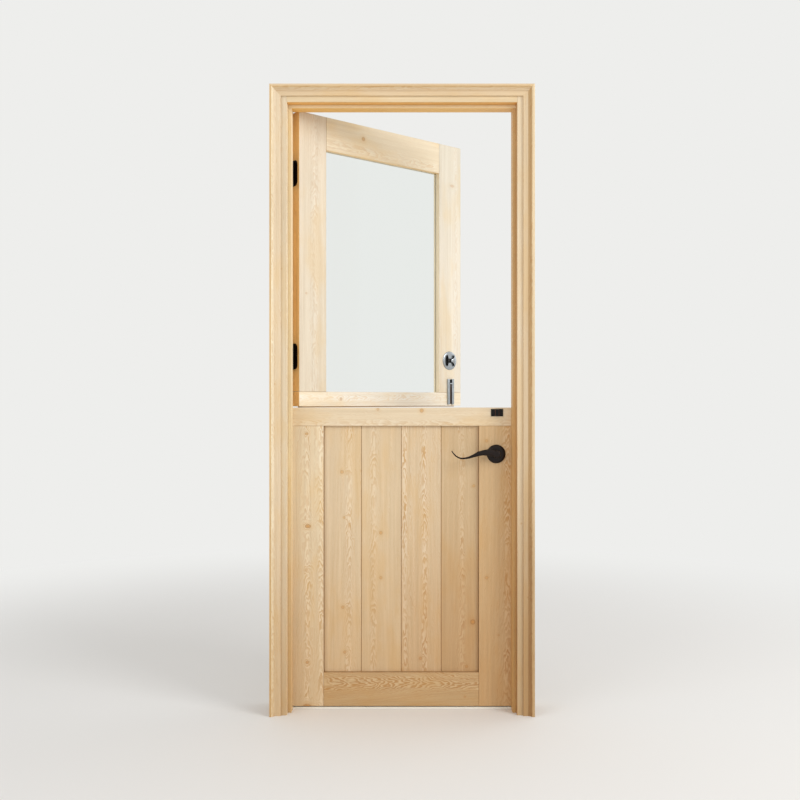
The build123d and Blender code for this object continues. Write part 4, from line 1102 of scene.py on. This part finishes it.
def finishes():
    """All metal, glass and paint finishes, made once and found again by their keys."""
    made = {m["door_finish"]: m for m in bpy.data.materials if "door_finish" in m}
    if made:
        return made
    shades = bpy.context.scene.door_colours
    black = tuple(shades.black_metal)
    # Copper brown for the keeper's painted highlight, also darkened to the black's brown cast
    wear_and_glint = tuple(shades.wear_and_glint)
    brown = rgba(wear_and_glint, 0.07)
    silver = tuple(shades.silver)
    steel = tuple(shades.steel)
    brushed = (300.0, 300.0, 1400.0)
    new = {
        "black": metal("satin_black", black, roughness=0.38, metallic=0.2, cast=brown),
        "black_open_leaf": metal(
            "satin_black_open_leaf", black, roughness=0.38, metallic=0.2, swung=True, cast=brown
        ),
        # The keeper's black, with a painted copper highlight on the edges of its loop
        "keeper": metal("worn_black", black, roughness=0.34, metallic=0.3, wear_and_glint=rgba(wear_and_glint)),
        "silver": metal(
            "satin_silver", silver, roughness=0.30, metallic=1.0, stretch=brushed, swung=True
        ),
        "steel": metal("bright_steel", steel, roughness=0.30, metallic=1.0),
        # The turn's dark and bright wings are painted shade and a painted highlight
        "turn": turn_metal("turn_metal", rgba(black, 0.9), rgba(silver, 0.95)),
        # The bar's bright band is a painted highlight and its brown partly a painted reflection
        "bar": bar_metal("bar_metal", tuple(shades.dark_bar_and_reflection), rgba(silver, 1.25), rgba(black)),
        "glass": clear_glass("clear_glass", tuple(shades.glass)),
        "seal": painted("seal_rubber", tuple(shades.seal), roughness=0.7, swung=True),
        "sill": painted("sill_strip", tuple(shades.sill), roughness=0.5),
    }
    for key, finish in new.items():
        finish["door_finish"] = key
    return new


def timber(node):
    """Pine finish of one piece of timber, made when it is first asked for."""
    name = "pine_" + node
    found = bpy.data.materials.get(name)
    if found:
        return found
    scene = bpy.context.scene
    shades = {
        "knot": rgba(tuple(scene.door_colours.knot)),
        "knot_edge": rgba(tuple(scene.door_colours.knot_edge)),
        "joint": rgba(tuple(scene.door_colours.joint)),
    }
    seed = 11.3 + 7.9 * sorted(TIMBER).index(node)
    return pine(name, node, TIMBER[node], scene.door_sizes.ring_spacing, shades, seed)


def dress(node, finish):
    """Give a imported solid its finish."""
    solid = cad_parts[node]
    if not solid.material_slots:
        solid.data.materials.append(finish)
    for slot in solid.material_slots:
        slot.material = finish


# Operators


class DOOR_OT_stage(bpy.types.Operator):
    """Floor, surroundings, lamps and the camera"""

    bl_idname = "door.stage"
    bl_label = "Stage"

    def execute(self, context):
        scene = context.scene
        scene.view_settings.view_transform = "Standard"
        shades = scene.door_colours
        backdrop = rgba(tuple(shades.backdrop))
        self.surroundings(scene, backdrop)
        self.floor(rgba(tuple(shades.floor)), backdrop)
        middle = (0.0, 0.0, 1.2)
        lamp("key", (3.7, -3.0, 3.4), middle, size=2.2, power=112.0)
        lamp("fill", (-3.4, -3.4, 2.4), middle, size=3.0, power=50.0)
        lamp("daylight", (3.6, 1.7, 2.4), (0.0, 0.2, 1.5), size=2.4, power=20.0)
        # Level, straight in front of the door
        camera = bpy.data.objects.new("camera", bpy.data.cameras.new("camera"))
        camera.location = (-0.0068, -3.260, 1.052)
        camera.rotation_euler = (math.pi / 2, 0.0, 0.0)
        camera.data.sensor_width = 36.0
        camera.data.lens = 42.75
        scene.collection.objects.link(camera)
        scene.camera = camera
        return {"FINISHED"}

    def surroundings(self, scene, backdrop):
        """Soft even light, with a plain colour where the camera, gloss and glass see it."""
        world = bpy.data.worlds.new("surroundings")
        world.use_nodes = True
        tree = Tree(world.node_tree)
        path = tree.node("ShaderNodeLightPath").socket.node.outputs
        seen = Value(tree, path["Is Camera Ray"]).most(Value(tree, path["Is Glossy Ray"]))
        seen = seen.most(Value(tree, path["Is Transmission Ray"]))
        warm_white = (1.0, 0.99, 0.975, 1.0)
        soft = tree.node("ShaderNodeBackground", {"Color": warm_white, "Strength": 0.68})
        plain = tree.node("ShaderNodeBackground", {"Color": backdrop, "Strength": 1.0})
        mixed = tree.node("ShaderNodeMixShader", [seen, soft, plain])
        tree.node("ShaderNodeOutputWorld", {"Surface": mixed})
        scene.world = world

    def floor(self, shade, backdrop):
        """Pale floor that keeps the door's shadow and fades into the surroundings."""
        made = Finish("floor")
        x, y, _ = made.split(made.place())
        reach = (x * x + y * y) ** 0.5
        fade = made.step(reach, 1.3, 3.6)
        near = made.node("ShaderNodeBsdfPrincipled", {"Base Color": shade, "Roughness": 0.8})
        far = made.node("ShaderNodeEmission", {"Color": backdrop, "Strength": 1.0})
        mixed = made.node("ShaderNodeMixShader", [fade, near, far])
        made.node("ShaderNodeOutputMaterial", {"Surface": mixed})
        mesh = bpy.data.meshes.new("floor")
        side = 12.0
        corners = [(-side, -side, 0), (side, -side, 0), (side, side, 0), (-side, side, 0)]
        mesh.from_pydata(corners, [], [(0, 1, 2, 3)])
        mesh.materials.append(made.material)
        floor = bpy.data.objects.new("floor", mesh)
        bpy.context.scene.collection.objects.link(floor)


def lamp(name, place, target, size, power):
    """Large soft lamp that points at a target."""
    data = bpy.data.lights.new(name, "AREA")
    data.shape = "SQUARE"
    data.size = size
    data.energy = power
    item = bpy.data.objects.new(name, data)
    item.location = place
    item.rotation_euler = (Vector(target) - Vector(place)).to_track_quat("-Z", "Y").to_euler()
    bpy.context.scene.collection.objects.link(item)


class DOOR_OT_joinery(bpy.types.Operator):
    """Pine on the jambs, stops, stiles, rails and boards"""

    bl_idname = "door.joinery"
    bl_label = "Joinery"

    def execute(self, context):
        for node in TIMBER:
            if not node.startswith(("room_casing", "outside_moulding")):
                dress(node, timber(node))
        dress("threshold_strip", finishes()["sill"])
        return {"FINISHED"}


class DOOR_OT_trim(bpy.types.Operator):
    """Moulded casing on the room side and the moulding outside, mitred at their corners"""

    bl_idname = "door.trim"
    bl_label = "Trim"

    def execute(self, context):
        sizes = context.scene.door_sizes
        casing = casing_outline(sizes)
        moulding = moulding_outline(sizes)
        self.surround("room_casing", casing, sizes.casing_setback, JAMB_FRONT, -1)
        self.surround("outside_moulding", moulding, sizes.moulding_setback, OUT_FACE, 1)
        return {"FINISHED"}

    def surround(self, name, outline, setback, back, proud):
        """Left, right and head pieces of one trim."""
        inner = HALF_OPENING + setback
        top = HEAD_UNDERSIDE + setback
        for part, side in (("left", -1), ("right", 1)):
            made = bmesh.new()
            mitred_bar(
                made,
                outline,
                lambda across, out, end: (
                    side * (inner + across),
                    back + proud * out,
                    (top + across) * end,
                ),
            )
            self.add(name + "_" + part, made)
        made = bmesh.new()
        mitred_bar(
            made,
            outline,
            lambda across, out, end: (
                (2 * end - 1) * (inner + across),
                back + proud * out,
                top + across,
            ),
        )
        self.add(name + "_head", made)

    def add(self, node, made):
        mesh = from_bmesh(node + "_dressed", made, 30.0)
        piece(node + "_dressed", mesh, "frame", [timber(node)], [node])


class DOOR_OT_glazing(bpy.types.Operator):
    """Glass, its mitred beads and the seal under the upper leaf"""

    bl_idname = "door.glazing"
    bl_label = "Glazing"

    def execute(self, context):
        finish = finishes()
        dress("glass_pane", finish["glass"])
        dress("meeting_seal", finish["seal"])
        # The rebate's sides and the glass's outer face, where the beads sit
        half, low, high, base = 0.279, 1.069, 1.939, 0.002
        corners = [(0, 0), (0, 0.018), (0.003, 0.018), (0.012, 0.009), (0.012, 0)]
        outline = rounded(corners, [0, 0.0006, 0.001, 0.0015, 0])
        made = bmesh.new()
        for side in (-1, 1):
            mitred_bar(
                made,
                outline,
                lambda across, out, end: (
                    side * (half - across),
                    base + out,
                    low + across if end == 0 else high - across,
                ),
            )
        for edge, way in ((low, 1), (high, -1)):
            mitred_bar(
                made,
                outline,
                lambda across, out, end: (
                    (2 * end - 1) * (half - across),
                    base + out,
                    edge + way * across,
                ),
                material=1,
            )
        made.transform(SWING)
        mesh = from_bmesh("glazing_beads_dressed", made, 30.0)
        name = "glazing_beads_dressed"
        woods = [timber("upper_lock_stile"), timber("upper_top_rail")]
        piece(name, mesh, "upper_leaf", woods, ["glazing_beads"])
        return {"FINISHED"}


class DOOR_OT_hinges(bpy.types.Operator):
    """Black butt hinges: plates, knuckles and pins with eased edges"""

    bl_idname = "door.hinges"
    bl_label = "Hinges"

    def execute(self, context):
        finish = finishes()
        edge = context.scene.door_sizes.metal_edge * 0.6
        for number in (1, 2, 3, 4):
            upper = number < 3
            leaf = "upper_leaf" if upper else "lower_leaf"
            black = finish["black_open_leaf"] if upper else finish["black"]
            eased_piece("hinge_leaf_plate_" + str(number), edge, leaf, black)
            plate = "hinge_frame_plate_" + str(number)
            eased_piece(plate, edge, "frame", finish["black"])
        pins = context.scene.door_sizes.metal_edge * 2
        eased_piece("hinge_pins", pins, "frame", finish["black"])
        return {"FINISHED"}


class DOOR_OT_screws(bpy.types.Operator):
    """Countersunk screws with a cross recess, in hinges, strikes, faceplates and bolt"""

    bl_idname = "door.screws"
    bl_label = "Screws"

    def execute(self, context):
        sizes = context.scene.door_sizes
        finish = finishes()
        group = screw_tree()
        black, steel, silver = finish["black"], finish["steel"], finish["silver"]
        short, long = 0.025, 0.062
        right, left, room = (1, 0, 0), (-1, 0, 0), (0, -1, 0)

        def add(name, places, size, metal_used, body, node, seed):
            mesh = screws(name, group, places, size, metal_used, sizes, seed)
            return piece(name, mesh, body, [metal_used], [node])

        jamb, half_head = 0.032, 0.016
        joints = []
        for side, way in ((-1, left), (1, right)):
            x = side * (HALF_OPENING + jamb)
            for share in (0.25, 0.75):
                y = JAMB_FRONT + (OUT_FACE - JAMB_FRONT) * share
                joints.append((Vector((x, y, HEAD_UNDERSIDE + half_head)), way))
        strikes = plate_spots(HALF_OPENING, DEADBOLT_Z, left)
        strikes += plate_spots(HALF_OPENING, LEVER_Z, left)
        frame_hinges = hinge_spots(HINGE_HEIGHTS, False)
        name = "frame_screws"
        add("frame_hinge_screws", frame_hinges, short, black, "frame", name, 3)
        add("strike_screws", strikes, short, steel, "frame", name, 4)
        add("head_joint_screws", joints, long, steel, "frame", name, 5)

        guide = [
            (Vector((GUIDE_X + side * 0.0114, ROOM_FACE - 0.006, z)), room)
            for z in (GUIDE_TOP - 0.033, GUIDE_BOTTOM + 0.022)
            for side in (-1, 1)
        ]
        upper_hinges = swing_spots(hinge_spots(HINGE_HEIGHTS[:2], True))
        upper_plate = swing_spots(plate_spots(HALF_LEAF, DEADBOLT_Z, right))
        name = "upper_leaf_screws"
        add("upper_hinge_screws", upper_hinges, short, black, "upper_leaf", name, 6)
        add("upper_plate_screws", upper_plate, short, steel, "upper_leaf", name, 7)
        add("guide_screws", swing_spots(guide), short, silver, "upper_leaf", name, 8)

        keeper = [
            (Vector((GUIDE_X + side * 0.0138, ROOM_FACE - 0.0026, KEEPER_Z)), room)
            for side in (-1, 1)
        ]
        lower_black = hinge_spots(HINGE_HEIGHTS[2:], True) + keeper
        name = "lower_leaf_screws"
        add("lower_black_screws", lower_black, short, black, "lower_leaf", name, 9)
        lower_plate = plate_spots(HALF_LEAF, LEVER_Z, right)
        add("lower_plate_screws", lower_plate, short, steel, "lower_leaf", name, 10)
        self.through(steel)
        return {"FINISHED"}

    def through(self, steel):
        """Hidden screws that draw the roses together, one pair on each leaf."""
        for body, z, turn in (("upper_leaf", DEADBOLT_Z, True), ("lower_leaf", LEVER_Z, False)):
            made = bmesh.new()
            rods(made, LOCK_X, z, ROOM_FACE - 0.002, OUT_FACE + 0.002, radius=0.0022, spread=0.020)
            if turn:
                made.transform(SWING)
            name = body + "_through_screws"
            mesh = from_bmesh(name, made)
            piece(name, mesh, body, [steel], [body + "_screws"])


class DOOR_OT_lever_set(bpy.types.Operator):
    """Black wave levers with their roses, the spindle and the latch"""

    bl_idname = "door.lever_set"
    bl_label = "Lever set"

    def execute(self, context):
        finish = finishes()
        black = finish["black"]
        steel = finish["steel"]
        rose = [
            (0.0092, -0.0200),
            (0.0092, -0.0286),
            (0.0096, -0.0290),
            (0.0180, -0.0288),
            (0.0240, -0.0282),
            (0.0280, -0.0270),
            (0.0304, -0.0254),
            (0.0316, -0.0232),
            (0.0320, -0.0210),
            (0.0320, -0.0200),
        ]
        for node, sign in (("inside_rose", 1), ("outside_rose", -1)):
            outline = [(radius, y * sign) for radius, y in rose]
            mesh = lathed(node + "_dressed", outline, LOCK_X, LEVER_Z)
            piece(node + "_dressed", mesh, "lower_leaf", [black], [node])
        for node, sign in (("inside_lever", 1), ("outside_lever", -1)):
            mesh = self.lever(node + "_dressed", sign, context.scene.door_sizes)
            piece(node + "_dressed", mesh, "lever_set", [black], [node])
        edge = context.scene.door_sizes.metal_edge
        eased_piece("latch_bolt", edge, "latch", steel)
        eased_piece("latch_strike", edge * 0.6, "frame", black)
        eased_piece("latch_case", edge * 0.6, "lower_leaf", steel)
        dress("spindle", steel)
        return {"FINISHED"}

    def lever(self, name, sign, sizes):
        """Hub and blade, blended into one smooth casting."""
        hub = [
            (0.0, -0.0555),
            (0.0090, -0.0553),
            (0.0118, -0.0540),
            (0.0130, -0.0515),
            (0.0130, -0.0440),
            (0.0122, -0.0418),
            (0.0090, -0.0405),
            (0.0090, -0.0202),
            (0.0, -0.0202),
        ]
        # Sections of the blade: distance from the hub, rise, height and depth
        stations = [
            (0.000, 0.0020, 0.0220, 0.0130),
            (0.014, 0.0046, 0.0235, 0.0130),
            (0.028, 0.0063, 0.0238, 0.0130),
            (0.046, 0.0056, 0.0187, 0.0124),
            (0.063, 0.0017, 0.0154, 0.0117),
            (0.078, -0.0045, 0.0110, 0.0108),
            (0.093, -0.0102, 0.0082, 0.0098),
            (0.104, -0.0128, 0.0068, 0.0090),
            (0.114, -0.0137, 0.0060, 0.0084),
            (0.123, -0.0133, 0.0056, 0.0078),
            (0.132, -0.0100, 0.0052, 0.0070),
            (0.139, -0.0052, 0.0049, 0.0064),
            (0.145, 0.0008, 0.0045, 0.0058),
            (0.150, 0.0070, 0.0040, 0.0052),
            (0.153, 0.0122, 0.0034, 0.0046),
        ]
        made = bmesh.new()
        rings = []
        blade_middle = -0.048
        points = [
            Vector((LOCK_X - run, blade_middle, LEVER_Z + rise)) for run, rise, _, _ in stations
        ]
        outwards = Vector((0, 1, 0))
        sides = 24
        turn = 2 * math.pi / sides
        for index, (point, (_, _, high, deep)) in enumerate(zip(points, stations)):
            ahead = points[min(index + 1, len(points) - 1)]
            behind = points[max(index - 1, 0)]
            way = (ahead - behind).normalized()
            up = outwards.cross(way).normalized()
            ring = []
            for i in range(sides):
                rise = up * (high / 2 * math.cos(i * turn))
                swell = outwards * (deep / 2 * math.sin(i * turn))
                ring.append(made.verts.new(point + rise + swell))
            rings.append(ring)
        for first, second in zip(rings, rings[1:]):
            join_rings(made, first, second)
        made.faces.new(rings[0])
        made.faces.new(rings[-1][::-1])
        bmesh.ops.recalc_face_normals(made, faces=made.faces)
        blade = bpy.data.meshes.new(name + "_blade")
        made.to_mesh(blade)
        made.free()
        turned = lathed(name + "_hub", hub, LOCK_X, LEVER_Z, segments=64)
        whole = bmesh.new()
        whole.from_mesh(blade)
        whole.from_mesh(turned)
        bpy.data.meshes.remove(blade)
        bpy.data.meshes.remove(turned)
        if sign < 0:
            bmesh.ops.scale(whole, vec=(1, -1, 1), verts=whole.verts)
            bmesh.ops.reverse_faces(whole, faces=whole.faces)
        rough = bpy.data.meshes.new(name + "_rough")
        whole.to_mesh(rough)
        whole.free()
        return blended(name, rough, sizes.lever_detail, sizes.lever_smoothing)


def blended(name, mesh, grid, passes):
    """Overlapping shells joined into one smooth skin."""
    holder = bpy.data.objects.new(name + "_holder", mesh)
    bpy.context.scene.collection.objects.link(holder)
    remesh = holder.modifiers.new("join", "REMESH")
    remesh.mode = "VOXEL"
    remesh.voxel_size = grid
    remesh.use_smooth_shade = True
    smooth = holder.modifiers.new("smooth", "SMOOTH")
    smooth.factor = 0.5
    smooth.iterations = passes
    bpy.context.view_layer.update()
    evaluated = holder.evaluated_get(bpy.context.evaluated_depsgraph_get())
    result = bpy.data.meshes.new_from_object(evaluated)
    result.name = name
    bpy.data.objects.remove(holder)
    bpy.data.meshes.remove(mesh)
    for polygon in result.polygons:
        polygon.use_smooth = True
    return result


class DOOR_OT_deadbolt(bpy.types.Operator):
    """Deadbolt: silver rose and turn inside, tapered collar and key plug outside"""

    bl_idname = "door.deadbolt"
    bl_label = "Deadbolt"

    def execute(self, context):
        finish = finishes()
        silver = finish["silver"]
        steel = finish["steel"]
        edge = context.scene.door_sizes.metal_edge
        rose = [
            (0.0082, -0.0200),
            (0.0082, -0.0232),
            (0.0085, -0.0235),
            (0.0250, -0.0235),
            (0.0310, -0.0232),
            (0.0338, -0.0226),
            (0.0354, -0.0216),
            (0.0360, -0.0206),
            (0.0360, -0.0200),
        ]
        self.turned("deadbolt_rose", rose, silver)
        collar = [
            (0.0071, 0.0200),
            (0.0330, 0.0200),
            (0.0330, 0.0228),
            (0.0327, 0.0236),
            (0.0266, 0.0390),
            (0.0260, 0.0398),
            (0.0252, 0.0400),
            (0.0120, 0.0400),
            (0.0112, 0.0396),
            (0.0106, 0.0388),
            (0.0071, 0.0386),
        ]
        self.turned("cylinder_collar", collar, silver)
        eased_piece("cylinder_plug", edge, "cylinder_plug", silver)
        eased_piece("thumb_turn", edge, "thumb_turn", finish["turn"])
        eased_piece("deadbolt_bolt", edge, "deadbolt", steel)
        eased_piece("deadbolt_case", edge * 0.6, "upper_leaf", steel)
        eased_piece("deadbolt_strike", edge * 0.6, "frame", steel)
        dress("tailpiece", steel)
        return {"FINISHED"}

    def turned(self, node, outline, finish):
        """Turned piece of the open leaf."""
        mesh = lathed(node + "_dressed", outline, LOCK_X, DEADBOLT_Z)
        mesh.transform(SWING)
        piece(node + "_dressed", mesh, "upper_leaf", [finish], [node])


class DOOR_OT_leaf_bolt(bpy.types.Operator):
    """Bolt that joins the leaves: silver guide, dark sliding bar and black keeper"""

    bl_idname = "door.leaf_bolt"
    bl_label = "Leaf bolt"

    def execute(self, context):
        finish = finishes()
        edge = context.scene.door_sizes.metal_edge
        eased_piece("dutch_bolt_guide", edge, "upper_leaf", finish["silver"])
        eased_piece("dutch_bolt_bar", edge, "dutch_bolt", finish["bar"])
        eased_piece("dutch_bolt_keeper", edge, "lower_leaf", finish["keeper"])
        return {"FINISHED"}


class DOOR_PT_panel(bpy.types.Panel):
    """Steps that dress the door"""

    bl_idname = "DOOR_PT_panel"
    bl_label = "Stable door"
    bl_space_type = "VIEW_3D"
    bl_region_type = "UI"
    bl_category = "Door"

    def draw(self, context):
        column = self.layout.column()
        for step in STEPS:
            column.operator(step.bl_idname)
        for group in (context.scene.door_sizes, context.scene.door_colours):
            box = self.layout.box()
            for name in group.__annotations__:
                box.prop(group, name)


STEPS = (
    DOOR_OT_stage,
    DOOR_OT_joinery,
    DOOR_OT_trim,
    DOOR_OT_glazing,
    DOOR_OT_hinges,
    DOOR_OT_screws,
    DOOR_OT_lever_set,
    DOOR_OT_deadbolt,
    DOOR_OT_leaf_bolt,
)
CLASSES = (DoorSizes, DoorColours, *STEPS, DOOR_PT_panel)


def register():
    for item in CLASSES:
        bpy.utils.register_class(item)
    bpy.types.Scene.door_sizes = PointerProperty(type=DoorSizes)
    bpy.types.Scene.door_colours = PointerProperty(type=DoorColours)


def unregister():
    del bpy.types.Scene.door_colours
    del bpy.types.Scene.door_sizes
    for item in reversed(CLASSES):
        bpy.utils.unregister_class(item)


def main():
    """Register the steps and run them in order."""
    register()
    for step in STEPS:
        group, name = step.bl_idname.split(".")
        getattr(getattr(bpy.ops, group), name)()


if __name__ == "__main__":
    main()
